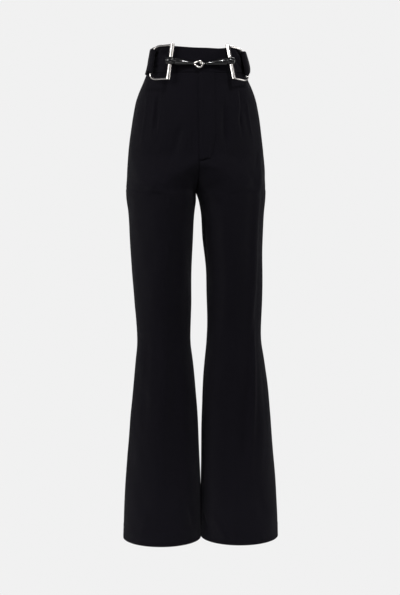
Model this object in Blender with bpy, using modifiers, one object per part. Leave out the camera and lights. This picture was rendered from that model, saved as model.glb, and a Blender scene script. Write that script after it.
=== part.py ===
"""High-waisted flared trousers, filled out with no wearer, with their own belt.

The belt's two ends are folded round the arcs of two dee rings, and a jointed bit
with two arms and two linked eyes closes it across the front of the waistband.

Metres, +Z up. The front faces -Y and the wearer's left side is at +X. The origin is
the middle of the waist opening, level with the top edge of the waistband.
"""
import math

import bmesh
import bpy
import numpy as np
from mathutils import Matrix, Vector

# ---------------------------------------------------------------- driving dimensions
CLOTH = 0.0015            # wall of a panel
SEAM = 0.0003             # gap between two pieces that are sewn together
WAISTBAND_DEPTH = 0.058   # height of the waistband
WAISTBAND_PROUD = 0.0010  # the doubled waistband stands this far out of the panels
WAISTBAND_WALL = 0.0025
RISE_START = -0.235       # the front and back rise curve leaves the vertical here
CROTCH = -0.330           # where the four panels meet
HEM = -1.167
SWAY = 0.0113             # the legs stand this far towards +X below the knee
SWAY_FROM, SWAY_TO = -0.38, -0.85

# Horizontal sections of the garment, from the waist to the hem. half_width is measured
# to the side seam, front and back are the y of the middle of the front and the back,
# side is the y of the side seam, half_gap is half the space between the legs, and gap_x
# is how far the middle of that space stands from the middle of the legs.
SECTION_COLUMNS = ("z", "half_width", "front", "back", "side", "half_gap", "gap_x")
SECTIONS = (
    (0.020, 0.1015, -0.0845, 0.0840, 0.0000, 0.0, 0.0),
    (0.000, 0.1035, -0.0860, 0.0860, 0.0000, 0.0, 0.0),
    (-0.030, 0.1085, -0.0900, 0.0905, 0.0010, 0.0, 0.0),
    (-0.055, 0.1145, -0.0930, 0.0960, 0.0020, 0.0, 0.0),
    (-0.075, 0.1225, -0.0955, 0.1020, 0.0030, 0.0, 0.0),
    (-0.095, 0.1315, -0.0980, 0.1085, 0.0040, 0.0, 0.0),
    (-0.117, 0.1395, -0.1005, 0.1160, 0.0050, 0.0, 0.0),
    (-0.150, 0.1463, -0.1040, 0.1245, 0.0060, 0.0, 0.0),
    (-0.187, 0.1520, -0.1070, 0.1305, 0.0080, 0.0, 0.0),
    (-0.222, 0.1567, -0.1090, 0.1340, 0.0095, 0.0, 0.0),
    (-0.256, 0.1600, -0.1098, 0.1345, 0.0100, 0.0, 0.0),
    (-0.290, 0.1628, -0.1088, 0.1315, 0.0100, 0.0, 0.0),
    (-0.330, 0.1635, -0.1060, 0.1250, 0.0100, 0.0, 0.0),
    (-0.350, 0.1625, -0.1042, 0.1205, 0.0095, 0.0040, 0.0030),
    (-0.3735, 0.1600, -0.1018, 0.1155, 0.0088, 0.0079, 0.0038),
    (-0.445, 0.1570, -0.0945, 0.1020, 0.0065, 0.0119, 0.0039),
    (-0.515, 0.1552, -0.0870, 0.0920, 0.0045, 0.0172, 0.0040),
    (-0.587, 0.1517, -0.0785, 0.0815, 0.0030, 0.0185, 0.0020),
    (-0.635, 0.1492, -0.0720, 0.0745, 0.0020, 0.0204, 0.0),
    (-0.690, 0.1486, -0.0700, 0.0730, 0.0020, 0.0195, -0.0026),
    (-0.731, 0.1540, -0.0720, 0.0770, 0.0025, 0.0153, -0.0030),
    (-0.804, 0.1617, -0.0755, 0.0810, 0.0030, 0.0097, -0.0032),
    (-0.877, 0.1693, -0.0780, 0.0840, 0.0035, 0.0055, -0.0026),
    (-0.950, 0.1751, -0.0800, 0.0862, 0.0040, 0.0023, -0.0015),
    (-1.024, 0.1802, -0.0820, 0.0880, 0.0040, 0.0002, 0.0),
    (-1.098, 0.1848, -0.0836, 0.0900, 0.0040, 0.0002, 0.0),
    (-1.187, 0.1890, -0.0850, 0.0920, 0.0040, 0.0002, 0.0),
)

# Rows and columns of a panel's net. A column is a share of the way from the middle of
# the garment, or the inseam, to the side seam.
HIP_ROWS = (-0.075, -0.095, -0.115, -0.133, -0.150, -0.165, -0.185, -0.210)
RISE_STEPS = 8
LEG_ROWS = (-0.345, -0.370, -0.410, -0.470, -0.530, -0.590, -0.630, -0.665, -0.700,
            -0.735, -0.780, -0.840, -0.900, -0.960, -1.020, -1.080, -1.130)
DART = 0.465              # column of the front and the back dart
DART_HALF = 0.022
PANEL_COLUMNS = (0.0, 0.09, 0.18, 0.27, 0.36, DART - DART_HALF, DART, DART + DART_HALF,
                 0.57, 0.66, 0.75, 0.84, 0.92, 1.0)

# Darts: a stitched groove from the waistband that opens into a short dimple.
DART_COLUMNS = ("half", "stitched_to", "ends_at", "groove", "dimple")
DARTS = (
    ("front", -0.133, -0.205, 0.0006, 0.0022),
    ("back", -0.150, -0.205, 0.0006, 0.0009),
)

# The largest soft folds: a ridge (+) or a trough (-) that runs down a panel. The column
# moves by lean from the fold's top to its foot.
FOLD_COLUMNS = ("side", "half", "column", "lean", "half_breadth", "top", "foot", "height")
FOLDS = (
    ("right", "front", 0.30, -0.06, 0.20, -0.115, -0.300, -0.0022),
    ("left", "front", 0.28, -0.02, 0.18, -0.105, -0.290, -0.0024),
    ("right", "front", 0.62, 0.04, 0.24, -0.250, -0.480, 0.0020),
    ("left", "front", 0.70, 0.04, 0.22, -0.270, -0.520, 0.0018),
    ("right", "front", 0.66, -0.04, 0.22, -0.640, -1.060, 0.0026),
    ("left", "front", 0.72, 0.02, 0.20, -0.680, -1.040, 0.0030),
    ("right", "front", 0.34, 0.02, 0.22, -0.700, -1.150, -0.0022),
    ("left", "front", 0.40, 0.02, 0.24, -0.660, -1.120, -0.0024),
    ("right", "back", 0.50, 0.05, 0.26, -0.300, -0.560, -0.0024),
    ("left", "back", 0.46, 0.04, 0.24, -0.310, -0.580, -0.0026),
    ("right", "back", 0.64, 0.00, 0.24, -0.680, -1.120, 0.0030),
    ("left", "back", 0.58, 0.02, 0.26, -0.660, -1.100, 0.0028),
    ("right", "back", 0.30, 0.00, 0.22, -0.740, -1.150, -0.0024),
    ("left", "back", 0.26, 0.02, 0.20, -0.760, -1.150, -0.0026),
)

# Side pocket: the front panel's edge gapes from the side seam, over a bearer.
POCKET_TOP, POCKET_FOOT = -0.075, -0.236
POCKET_GAPE = 0.0045      # widest gape of the mouth
POCKET_REACH = 0.012      # the bearer goes this far in under the front panel
BEARER = 0.0012

# Fly lap on the wearer's left front, edged by the J of stitching.
FLY_WIDTH = 0.0365
FLY_BEND, FLY_FOOT = -0.190, -0.2535
FLY_FOOT_WIDTH = 0.014
FLY_CLOTH = 0.0009

# Belt: a band folded back round the arc of a dee ring at both ends.
BAND = 0.0024
BAND_TOP, BAND_FOOT = -0.0015, -0.0610
BAND_END = 0.0235         # half of the band's height at its fold
BAND_REST = WAISTBAND_PROUD + 0.0005 + BAND / 2   # middle of the band off the panels
BAND_ROWS = 4
BAND_TAIL = {"right": 0.20, "left": 0.28}     # turn from a fold to the end of its tail
BAND_SETTLES = {"right": 0.38, "left": 0.75}  # turn from a fold to where it lies flat
BAND_SPREADS = 1.20       # turn from a fold to where the band has its full height
BELT_TURN = math.radians(2.6)   # the belt has slid round the waist by this much

DEE_HEIGHT = 0.084
DEE_WIDTH = 0.054
DEE_BAR = 0.0049          # radius of the bar
DEE_WIRE = 0.00215        # radius of the arc
DEE_BEVEL = 0.0008        # rounding of the bar's ends
DEE_CORNER_OUT, DEE_CORNER_UP = 0.019, 0.0115
DEE_CENTRE = Vector((0.0690, -0.0876, -0.0320))
DEE_LEAN_IN = -0.156      # the bar leans this much to the middle for its rise
DEE_LEAN_BACK = {"right": 0.20, "left": 0.34}
DEE_TOWARDS_ARC = Vector((0.0425, 0.0425, 0.0))             # level line to the arc

RUN_CLEARANCE = 0.0003    # a bar in its bore, a wire in its fold
BALL_LENGTH, BALL_RADIUS = 0.0240, 0.0099
BIT_Z_BALL = -0.0304
BIT_JOINT = Vector((0.0, -0.1004, -0.0375))
ARM_RADIUS, ARM_TIP_RADIUS = 0.0088, 0.0031
ARM_COLLAR = ((0.0008, 0.0012), (0.0022, 0.0))  # along from the ball, in from the radius
RING_RADIUS, RING_WIRE = 0.0074, 0.00170   # the ring that faces forward
RING_OFFSET = -0.0041     # its centre along the bit, from the middle
RING_POINT = 0.0131       # centre to the point of the teardrop
EYE_HALF_WIDTH, EYE_WIRE = 0.0042, 0.0019  # the eye that lies level
EYE_NEAR, EYE_FAR = -0.0026, 0.0100        # its ends along the bit, from the middle
EYE_LIFT = 0.0022         # its near end rides this much above the joint

SIGN = {"right": -1.0, "left": 1.0}        # the wearer's right side is at -X
STEP_TURN, STEP_DROP = 0.004, 0.0004       # steps that a face's slope is measured over


# ------------------------------------------------------------------ the garment's form
def read_section(z):
    """Each column of SECTIONS at height z, on a smooth curve through its rows."""
    table = np.array(SECTIONS)[::-1]
    heights = table[:, 0]
    z = np.asarray(z, dtype=float)
    found = {}
    for index, name in enumerate(SECTION_COLUMNS[1:], start=1):
        values = table[:, index]
        slopes = np.gradient(values, heights)
        k = np.clip(np.searchsorted(heights, z) - 1, 0, len(heights) - 2)
        step = heights[k + 1] - heights[k]
        t = (z - heights[k]) / step
        found[name] = ((1 + 2 * t) * (1 - t) ** 2 * values[k]
                       + t * (1 - t) ** 2 * step * slopes[k]
                       + t ** 2 * (3 - 2 * t) * values[k + 1]
                       + t ** 2 * (t - 1) * step * slopes[k + 1])
    return found


def ease(t):
    """A smooth step from 0 to 1."""
    t = np.clip(t, 0.0, 1.0)
    return t * t * (3.0 - 2.0 * t)


def loop_of_leg(side, z):
    """The section at a height, with the centre and half-width of one leg's ellipse.

    Above the rise both ellipses share the middle plane as their centre. Down the rise
    their centres move apart until the ellipses only touch, at the crotch.
    """
    section = read_section(z)
    parted = ease((RISE_START - z) / (RISE_START - CROTCH))
    gap = np.maximum(section["half_gap"] + SIGN[side] * section["gap_x"], SEAM / 2)
    outer = section["half_width"]
    half = np.where(z > CROTCH, outer / (1.0 + parted), (outer - gap) / 2.0)
    return section, outer - half, half


def first_angle(side, z):
    """Angle on the leg's ellipse where a panel starts: the middle plane or inseam."""
    _, centre, half = loop_of_leg(side, z)
    start = np.arccos(np.clip((centre - SEAM / 2) / half, -1.0, 1.0))
    return np.maximum(start, SEAM / 2 / half)


def base_point(side, half_name, angle, z):
    """Point of the outer face before folds, at an angle of the leg's ellipse."""
    section, centre, half = loop_of_leg(side, z)
    across = centre - half * np.cos(angle)
    if half_name == "front":
        along = section["side"] - (section["side"] - section["front"]) * np.sin(angle)
    else:
        along = section["side"] + (section["back"] - section["side"]) * np.sin(angle)
    lean = SWAY * ease((SWAY_FROM - z) / (SWAY_FROM - SWAY_TO))
    return np.stack([SIGN[side] * across + lean, along, z + 0.0 * across], axis=-1)


def place(side, half_name, angle, z, out):
    """Point of the outer face, moved out along the face's own normal."""
    angle, z, out = np.broadcast_arrays(np.asarray(angle, float), np.asarray(z, float),
                                        np.asarray(out, float))
    turn = (base_point(side, half_name, angle + STEP_TURN, z)
            - base_point(side, half_name, angle - STEP_TURN, z))
    drop = (base_point(side, half_name, angle, z + STEP_DROP)
            - base_point(side, half_name, angle, z - STEP_DROP))
    normal = np.cross(turn, drop)
    normal /= np.linalg.norm(normal, axis=-1, keepdims=True)
    flip = -1.0 if (SIGN[side] > 0) == (half_name == "front") else 1.0
    return base_point(side, half_name, angle, z) - flip * normal * out[..., None]


def bump(t):
    """A smooth hump of height 1 over -1..1."""
    return np.where(np.abs(t) < 1.0, 0.5 + 0.5 * np.cos(np.pi * np.clip(t, -1, 1)), 0.0)


def relief(side, half_name, column, z):
    """How far the darts and the soft folds move a panel's outer face out."""
    out = np.zeros(np.broadcast(column, z).shape)
    for row in DARTS:
        dart = dict(zip(DART_COLUMNS, row))
        if dart["half"] != half_name:
            continue
        groove = dart["groove"] * ease((z - dart["stitched_to"]) / 0.02)
        middle = (dart["stitched_to"] + dart["ends_at"]) / 2
        reach = (dart["stitched_to"] - dart["ends_at"]) / 2 + 0.012
        dimple = dart["dimple"] * bump((z - middle) / reach)
        out = out - (groove + dimple) * bump((column - DART) / (2 * DART_HALF))
    for row in FOLDS:
        fold = dict(zip(FOLD_COLUMNS, row))
        if (fold["side"], fold["half"]) != (side, half_name):
            continue
        share = (fold["top"] - z) / (fold["top"] - fold["foot"])
        middle = fold["column"] + fold["lean"] * share
        out = out + (fold["height"] * bump(2 * share - 1)
                     * bump((column - middle) / fold["half_breadth"]))
    return out


def panel_angle(side, side_edge, column, z):
    """Angle of a column: an even share of the way from the first angle to the edge."""
    start = first_angle(side, z)
    return start + (side_edge - start) * column


def side_seam_angle(z):
    """Angle of a panel's side edge, half a seam short of the side itself."""
    section = read_section(z)
    return math.pi - SEAM / 2 / (section["side"] - section["front"])


def pocket_mouth_angle(z):
    """The front panel's side edge: on the side seam, but for the pocket's gape."""
    section = read_section(z)
    middle = (POCKET_TOP + POCKET_FOOT) / 2
    reach = (POCKET_TOP - POCKET_FOOT) / 2
    gape = POCKET_GAPE * bump((z - middle) / reach)
    return side_seam_angle(z) - gape / (section["side"] - section["front"])


# ------------------------------------------------------------------------ mesh helpers
def new_object(name, mesh, material, collection):
    """An object for a finished mesh, with one material."""
    piece = bpy.data.objects.new(name, mesh)
    piece.data.materials.append(material)
    collection.objects.link(piece)
    return piece


def wall(name, outer, inner, material, collection):
    """A closed wall between two nets of points, lofted with four-sided faces."""
    rows, columns = outer.shape[:2]
    count = rows * columns
    points = np.concatenate([outer.reshape(-1, 3), inner.reshape(-1, 3)])
    faces = []
    for i in range(rows - 1):
        for j in range(columns - 1):
            a = i * columns + j
            ring = (a, a + 1, a + columns + 1, a + columns)
            faces.append(ring)
            faces.append(tuple(count + k for k in reversed(ring)))
    rim = [j for j in range(columns)]
    rim += [i * columns + columns - 1 for i in range(1, rows)]
    rim += [(rows - 1) * columns + j for j in range(columns - 2, -1, -1)]
    rim += [i * columns for i in range(rows - 2, 0, -1)]
    for a, b in zip(rim, rim[1:] + rim[:1]):
        faces.append((b, a, count + a, count + b))
    mesh = bpy.data.meshes.new(name)
    mesh.from_pydata(points.tolist(), [], faces)
    fix_normals(mesh)
    mesh.shade_smooth()
    mesh.set_sharp_from_angle(angle=math.radians(40))
    return new_object(name, mesh, material, collection)


def fix_normals(mesh):
    """Turn every face of a closed mesh outwards."""
    work = bmesh.new()
    work.from_mesh(mesh)
    bmesh.ops.recalc_face_normals(work, faces=work.faces)
    work.to_mesh(mesh)
    work.free()


def tube_mesh(name, points, radius, closed, sides_half):
    """A tube along a row of points, as a mesh."""
    curve = bpy.data.curves.new(name + "_path", "CURVE")
    curve.dimensions = "3D"
    curve.bevel_depth = radius
    curve.bevel_resolution = sides_half
    curve.use_fill_caps = not closed
    spline = curve.splines.new("POLY")
    spline.points.add(len(points) - 1)
    for target, point in zip(spline.points, points):
        target.co = (point[0], point[1], point[2], 1.0)
    spline.use_cyclic_u = closed
    holder = bpy.data.objects.new(name + "_path", curve)
    bpy.context.scene.collection.objects.link(holder)
    graph = bpy.context.evaluated_depsgraph_get()
    mesh = bpy.data.meshes.new_from_object(holder.evaluated_get(graph))
    bpy.data.objects.remove(holder)
    work = bmesh.new()
    work.from_mesh(mesh)
    bmesh.ops.remove_doubles(work, verts=work.verts, dist=0.00001)
    bmesh.ops.recalc_face_normals(work, faces=work.faces)
    work.to_mesh(mesh)
    work.free()
    mesh.name = name
    return mesh


def frame_along(direction, origin):
    """A matrix whose Z axis runs along a direction, at an origin."""
    turn = Vector(direction).to_track_quat("Z", "Y").to_matrix().to_4x4()
    return Matrix.Translation(origin) @ turn


def belt_turned(point):
    """A point of the belt's hardware, turned with the belt round the waist."""
    return Matrix.Rotation(BELT_TURN, 4, "Z") @ Vector(point)


def boolean(piece, other, operation, name):
    """A Boolean modifier with the exact solver."""
    modifier = piece.modifiers.new(name, "BOOLEAN")
    modifier.operation = operation
    modifier.solver = "EXACT"
    modifier.object = other


# --------------------------------------------------------------------------- the cloth
def panel_rows():
    """Heights of a panel's rows: hip, the rise curve in even turns, then the leg."""
    top = -WAISTBAND_DEPTH - SEAM / 2
    turns = np.linspace(0.0, math.pi / 2, RISE_STEPS + 1)
    rise = RISE_START - (RISE_START - CROTCH) * np.sin(turns)
    return np.array([top, *HIP_ROWS, *rise, *LEG_ROWS, HEM])


def make_panel(side, half_name, material, collection):
    """A front or back leg panel, cut in one from the waistband to the hem."""
    z = panel_rows()[:, None]
    column = np.array(PANEL_COLUMNS)[None, :]
    edge = pocket_mouth_angle(z) if half_name == "front" else side_seam_angle(z)
    angle = panel_angle(side, edge, column, z)
    out = relief(side, half_name, column, z)
    outer = place(side, half_name, angle, z, out)
    inner = place(side, half_name, angle, z, out - CLOTH)
    wall(f"{half_name}_panel_{side}", outer, inner, material, collection)


def make_pocket_bearer(side, material, collection):
    """The strip behind a side pocket's mouth, in under the front panel."""
    z = np.array([h for h in panel_rows() if POCKET_FOOT - 0.02 < h < POCKET_TOP + 0.02])
    z = z[:, None]
    section = read_section(z)
    edge = side_seam_angle(z)
    reach = (POCKET_GAPE + POCKET_REACH) / (section["side"] - section["front"])
    angle = edge - reach * (1.0 - np.linspace(0.0, 1.0, 4)[None, :])
    below = -CLOTH - SEAM * 2
    outer = place(side, "front", angle, z, below)
    inner = place(side, "front", angle, z, below - BEARER)
    wall(f"pocket_bearer_{side}", outer, inner, material, collection)


def make_fly_lap(material, collection):
    """The J-shaped lap over the fly, raised off the wearer's left front panel."""
    rows = [h for h in panel_rows() if h > FLY_FOOT + 0.004]
    z = np.array([*rows, FLY_FOOT + 0.006, FLY_FOOT])[:, None]
    _, _, half = loop_of_leg("left", z)
    bend = np.clip((FLY_BEND - z) / (FLY_BEND - FLY_FOOT), 0.0, 1.0)
    width = FLY_FOOT_WIDTH + (FLY_WIDTH - FLY_FOOT_WIDTH) * np.sqrt(1.0 - bend ** 2)
    start = first_angle("left", z)
    angle = start + np.linspace(0.0, 1.0, 5)[None, :] * width / half
    column = (angle - start) / (side_seam_angle(z) - start)
    out = relief("left", "front", column, z) + SEAM
    outer = place("left", "front", angle, z, out + FLY_CLOTH)
    inner = place("left", "front", angle, z, out)
    wall("fly_lap", outer, inner, material, collection)


def around(theta, z, out):
    """Point off the garment's face by the angle round the waist, 0 at the front."""
    theta, z, out = np.broadcast_arrays(np.asarray(theta, float), np.asarray(z, float),
                                        np.asarray(out, float))
    turn = np.abs(theta)
    points = np.zeros(theta.shape + (3,))
    for side in ("right", "left"):
        for half_name in ("front", "back"):
            here = ((theta >= 0) == (side == "left")) & (
                (turn <= math.pi / 2) == (half_name == "front"))
            angle = (math.pi / 2 + turn if half_name == "front"
                     else 3 * math.pi / 2 - turn)
            found = place(side, half_name, angle, z, out)
            points[here] = found[here]
    return points


def make_waistband(name, start, end, material, collection):
    """A waistband piece between two angles round the waist."""
    spacing = math.radians(7.5)
    theta = np.linspace(start, end, 1 + math.ceil((end - start) / spacing))[None, :]
    z = np.array([-WAISTBAND_DEPTH + SEAM / 2, -0.039, -0.020, 0.0])[:, None]
    outer = around(theta, z, WAISTBAND_PROUD)
    inner = around(theta, z, WAISTBAND_PROUD - WAISTBAND_WALL)
    wall(name, outer, inner, material, collection)


# ---------------------------------------------------------------------------- the belt
def dee_axes(side):
    """Centre of the bar, the bar's direction and the way to the arc, in the garment."""
    mirror = Vector((SIGN[side], 1.0, 1.0))
    lean = Vector((DEE_LEAN_IN, DEE_LEAN_BACK[side], 1.0)).normalized()
    centre = belt_turned(DEE_CENTRE * mirror)
    up = belt_turned(lean * mirror)
    towards = belt_turned(DEE_TOWARDS_ARC * mirror)
    towards = (towards - up * towards.dot(up)).normalized()
    return centre, up, towards


def dee_arc_at(side, z):
    """Where the straight run of the arc passes a height."""
    centre, up, towards = dee_axes(side)
    foot = centre + towards * DEE_WIDTH
    return foot + up * ((z - foot.z) / up.z)


def nearest_on_waist(point):
    """Angle round the waist and distance off the panels of a point beside it."""
    theta = np.linspace(-math.pi, math.pi, 2881)
    face = around(theta, point.z, 0.0)
    gap = np.linalg.norm(face[:, :2] - np.array(point[:2]), axis=1)
    nearest = int(np.argmin(gap))
    return theta[nearest], gap[nearest]


def band_height(level, side, reach):
    """Height of a level of the band, at an angle round the waist from a fold."""
    centre, _, towards = dee_axes(side)
    at_fold = centre.z + towards.z * DEE_WIDTH + BAND_END * (1.0 - 2.0 * level)
    at_rest = BAND_TOP + (BAND_FOOT - BAND_TOP) * level
    return at_fold + (at_rest - at_fold) * ease(reach / BAND_SPREADS)


def band_end(side, level):
    """One end of a level of the band, from the tail round the arc to where it settles.

    Returns the points of the path, and the angles round the waist of the fold and of
    the last point.
    """
    sign = SIGN[side]
    z_end = float(band_height(level, side, 0.0))
    middle = dee_arc_at(side, z_end)
    theta, off = nearest_on_waist(middle)
    fold = DEE_WIRE + RUN_CLEARANCE + BAND / 2
    share = np.linspace(1.0, 0.0, 7)[:-1]
    tail = around(theta + sign * BAND_TAIL[side] * share, z_end,
                  (off - fold) + (BAND_REST - off + fold) * ease(share))
    back = around(theta + sign * 0.02, z_end, off) - around(theta, z_end, off)
    back /= np.linalg.norm(back)
    outwards = np.cross(back, (0.0, 0.0, sign))
    turns = np.linspace(0.0, math.pi, 9)[:, None]
    bend = np.array(middle) - fold * (outwards * np.cos(turns) + back * np.sin(turns))
    share = np.linspace(0.0, 1.0, 11)[1:]
    reach = BAND_SETTLES[side] * share
    leaving = BAND_REST + (off + fold - BAND_REST) * (1.0 - ease(share))
    outer = around(theta + sign * reach, band_height(level, side, reach), leaving)
    return np.concatenate([tail, bend, outer]), theta, theta + sign * reach[-1]


def make_belt_band(material, collection):
    """The band: tail, fold, round the back, fold and tail, in one closed wall."""
    rows = []
    for level in np.linspace(0.0, 1.0, BAND_ROWS):
        right, right_fold, right_theta = band_end("right", level)
        left, left_fold, left_theta = band_end("left", level)
        sweep = np.linspace(right_theta, left_theta - 2 * math.pi, 34)[1:-1]
        from_right = band_height(level, "right", right_fold - sweep)
        from_left = band_height(level, "left", sweep + 2 * math.pi - left_fold)
        z = np.where(sweep > -math.pi, from_right, from_left)
        middle = around(np.where(sweep < -math.pi, sweep + 2 * math.pi, sweep), z,
                        BAND_REST)
        rows.append(np.concatenate([right, middle, left[::-1]]))
    path = np.array(rows)
    steps = np.diff(path[..., :2], axis=1)
    steps /= np.linalg.norm(steps, axis=-1, keepdims=True)
    along = np.concatenate([steps[:, :1], steps[:, 1:] + steps[:, :-1], steps[:, -1:]], 1)
    along /= np.linalg.norm(along, axis=-1, keepdims=True)
    outwards = np.stack([-along[..., 1], along[..., 0], np.zeros(along.shape[:2])], -1)
    wall("belt_band", path + outwards * BAND / 2, path - outwards * BAND / 2,
         material, collection)


def make_dee_ring(side, material, collection, cutters):
    """A dee ring: a thick straight bar and a thinner arc, forged in one."""
    centre, up, towards = dee_axes(side)
    reach_up = DEE_HEIGHT / 2 - DEE_WIRE - DEE_BEVEL
    turns = np.linspace(0.0, math.pi / 2, 6)
    corner_out = DEE_WIDTH - DEE_CORNER_OUT + DEE_CORNER_OUT * np.sin(turns)
    corner_up = reach_up - DEE_CORNER_UP + DEE_CORNER_UP * np.cos(turns)
    outs = np.concatenate([[0.0], corner_out, corner_out[::-1], [0.0]])
    ups = np.concatenate([[reach_up], corner_up, -corner_up[::-1], [-reach_up]])
    points = [centre + towards * o + up * u for o, u in zip(outs, ups)]
    arc = tube_mesh(f"dee_arc_{side}", points, DEE_WIRE, False, 3)
    arc_object = new_object(f"dee_arc_{side}", arc, material, cutters)
    bpy.ops.mesh.primitive_cylinder_add(vertices=20, radius=DEE_BAR, depth=DEE_HEIGHT)
    bar = bpy.context.active_object
    bar.name = f"dee_ring_{side}"
    bar.data.name = bar.name
    bar.data.transform(frame_along(up, centre))
    bar.data.materials.append(material)
    bevel = bar.modifiers.new("rounded ends", "BEVEL")
    bevel.width = DEE_BEVEL
    bevel.segments = 2
    bevel.limit_method = "ANGLE"
    boolean(bar, arc_object, "UNION", "arc")
    move_to(bar, collection)
    bar.data.shade_smooth()
    bar.data.set_sharp_from_angle(angle=math.radians(40))


def move_to(piece, collection):
    """Keep an object in one collection only."""
    for holder in list(piece.users_collection):
        holder.objects.unlink(piece)
    collection.objects.link(piece)


def arm_profile(length):
    """Radius along an arm, from the outer end of the ball to the tip by the joint."""
    half = BALL_LENGTH / 2
    along = half * np.cos(np.linspace(0.0, 0.80 * math.pi, 8))
    ball = [(a, BALL_RADIUS * math.sqrt(max(0.0, 1 - (a / half) ** 2)) ** 0.8)
            for a in -along]
    neck = ball[-1][0]
    rows = [*ball, *((neck + on, ARM_RADIUS - down) for on, down in ARM_COLLAR)]
    start = rows[-1][0]
    for share in np.linspace(0.15, 1.0, 7):
        radius = ARM_TIP_RADIUS + (ARM_RADIUS - ARM_TIP_RADIUS) * (1 - share) ** 1.15
        rows.append((start + (length - start) * share, radius))
    return [*rows, (length, 0.0)]


def make_arm(side, tip, material, collection, cutters):
    """A bit arm: a barrel bored for the bar, a neck, and a sleeve that tapers."""
    centre, up, _ = dee_axes(side)
    ball = centre + up * ((BIT_Z_BALL - centre.z) / up.z)
    joint = belt_turned(BIT_JOINT)
    direction = (joint - ball).normalized()
    length = (joint - ball).length - tip
    profile = arm_profile(length)
    mesh = bpy.data.meshes.new(f"bit_arm_{side}")
    points = [(radius, 0.0, along) for along, radius in profile]
    mesh.from_pydata(points, [(i, i + 1) for i in range(len(points) - 1)], [])
    arm = new_object(f"bit_arm_{side}", mesh, material, collection)
    arm.matrix_world = frame_along(direction, ball)
    screw = arm.modifiers.new("turned", "SCREW")
    screw.steps = screw.render_steps = 18
    screw.use_merge_vertices = True
    screw.merge_threshold = 0.00001
    screw.use_normal_calculate = True
    bpy.ops.mesh.primitive_cylinder_add(vertices=20, radius=DEE_BAR + RUN_CLEARANCE,
                                        depth=BALL_RADIUS * 4)
    bore = bpy.context.active_object
    bore.name = f"bore_{side}"
    bore.matrix_world = frame_along(up, ball)
    move_to(bore, cutters)
    boolean(arm, bore, "DIFFERENCE", "bore")
    return ball, direction, length


def make_ring(ball, direction, length, material, collection):
    """The ring of the wearer's right arm: a teardrop that faces forward."""
    joint = belt_turned(BIT_JOINT)
    along = (belt_turned(Vector((1.0, 0.0, 0.0)))).normalized()
    up = Vector((0.0, 0.0, 1.0))
    centre = joint + along * RING_OFFSET
    tip = ball + direction * (length + SEAM + RING_WIRE)
    turns = np.linspace(math.radians(-140), math.radians(140), 19)
    points = [centre + along * (RING_RADIUS * math.cos(t))
              + up * (RING_RADIUS * math.sin(t)) for t in turns]
    points.append(tip)
    mesh = tube_mesh("bit_ring", points, RING_WIRE, True, 2)
    ring = new_object("bit_ring", mesh, material, collection)
    ring.data.shade_smooth()


def make_eye(ball, direction, length, material, collection):
    """The eye of the wearer's left arm: a flat loop that lies level."""
    joint = belt_turned(BIT_JOINT)
    along = (belt_turned(Vector((1.0, 0.0, 0.0)))).normalized()
    across = Vector((0.0, 0.0, 1.0)).cross(along)
    tip = ball + direction * (length + SEAM + EYE_WIRE)
    near = joint + along * (EYE_NEAR + EYE_HALF_WIDTH) + Vector((0.0, 0.0, EYE_LIFT))
    run = tip - near
    run -= across * run.dot(across)
    turns = np.linspace(math.radians(90), math.radians(270), 9)
    points = [near + along * (EYE_HALF_WIDTH * math.cos(t))
              + across * (EYE_HALF_WIDTH * math.sin(t)) for t in turns]
    flanks = ((0.45, 1.0), (0.80, 0.62))       # share of the run, share of the width
    for share, width in flanks:
        points.append(near + run * share - across * EYE_HALF_WIDTH * width)
    points.append(tip)
    for share, width in reversed(flanks):
        points.append(near + run * share + across * EYE_HALF_WIDTH * width)
    mesh = tube_mesh("bit_eye", points, EYE_WIRE, True, 2)
    eye = new_object("bit_eye", mesh, material, collection)
    eye.data.shade_smooth()


# ----------------------------------------------------------------------- the materials
def make_material(name, colour, roughness, metallic):
    """A Principled material with one colour."""
    material = bpy.data.materials.new(name)
    material.use_nodes = True
    shader = material.node_tree.nodes["Principled BSDF"]
    shader.inputs["Base Color"].default_value = (*colour, 1.0)
    shader.inputs["Roughness"].default_value = roughness
    shader.inputs["Metallic"].default_value = metallic
    return material


def main():
    for piece in list(bpy.data.objects):
        bpy.data.objects.remove(piece)
    parts = bpy.data.collections.new("flared_trousers")
    cutters = bpy.data.collections.new("cutters")
    for collection in (parts, cutters):
        bpy.context.scene.collection.children.link(collection)

    cloth = make_material("black cloth", (0.010, 0.009, 0.011), 0.9, 0.0)
    band_cloth = make_material("black band", (0.012, 0.011, 0.013), 0.85, 0.0)
    steel = make_material("bright steel", (0.80, 0.79, 0.77), 0.15, 1.0)
    black_gloss = make_material("black gloss", (0.012, 0.012, 0.013), 0.25, 0.0)

    for side in ("right", "left"):
        for half_name in ("front", "back"):
            make_panel(side, half_name, cloth, parts)
        make_pocket_bearer(side, cloth, parts)
    make_fly_lap(cloth, parts)

    edge = SEAM / 2 / 0.1
    quarter = math.pi / 2
    make_waistband("waistband_front_right", -quarter + edge, -edge, cloth, parts)
    make_waistband("waistband_front_left", edge, quarter - edge, cloth, parts)
    make_waistband("waistband_back_right", -math.pi + edge, -quarter - edge, cloth, parts)
    make_waistband("waistband_back_left", quarter + edge, math.pi - edge, cloth, parts)

    make_belt_band(band_cloth, parts)
    for side in ("right", "left"):
        make_dee_ring(side, steel, parts, cutters)
    right_tip = RING_POINT - RING_OFFSET
    make_ring(*make_arm("right", right_tip, black_gloss, parts, cutters), steel, parts)
    make_eye(*make_arm("left", EYE_FAR, black_gloss, parts, cutters), steel, parts)

    for cutter in cutters.objects:
        cutter.hide_render = True
        cutter.display_type = "WIRE"


main()
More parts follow.
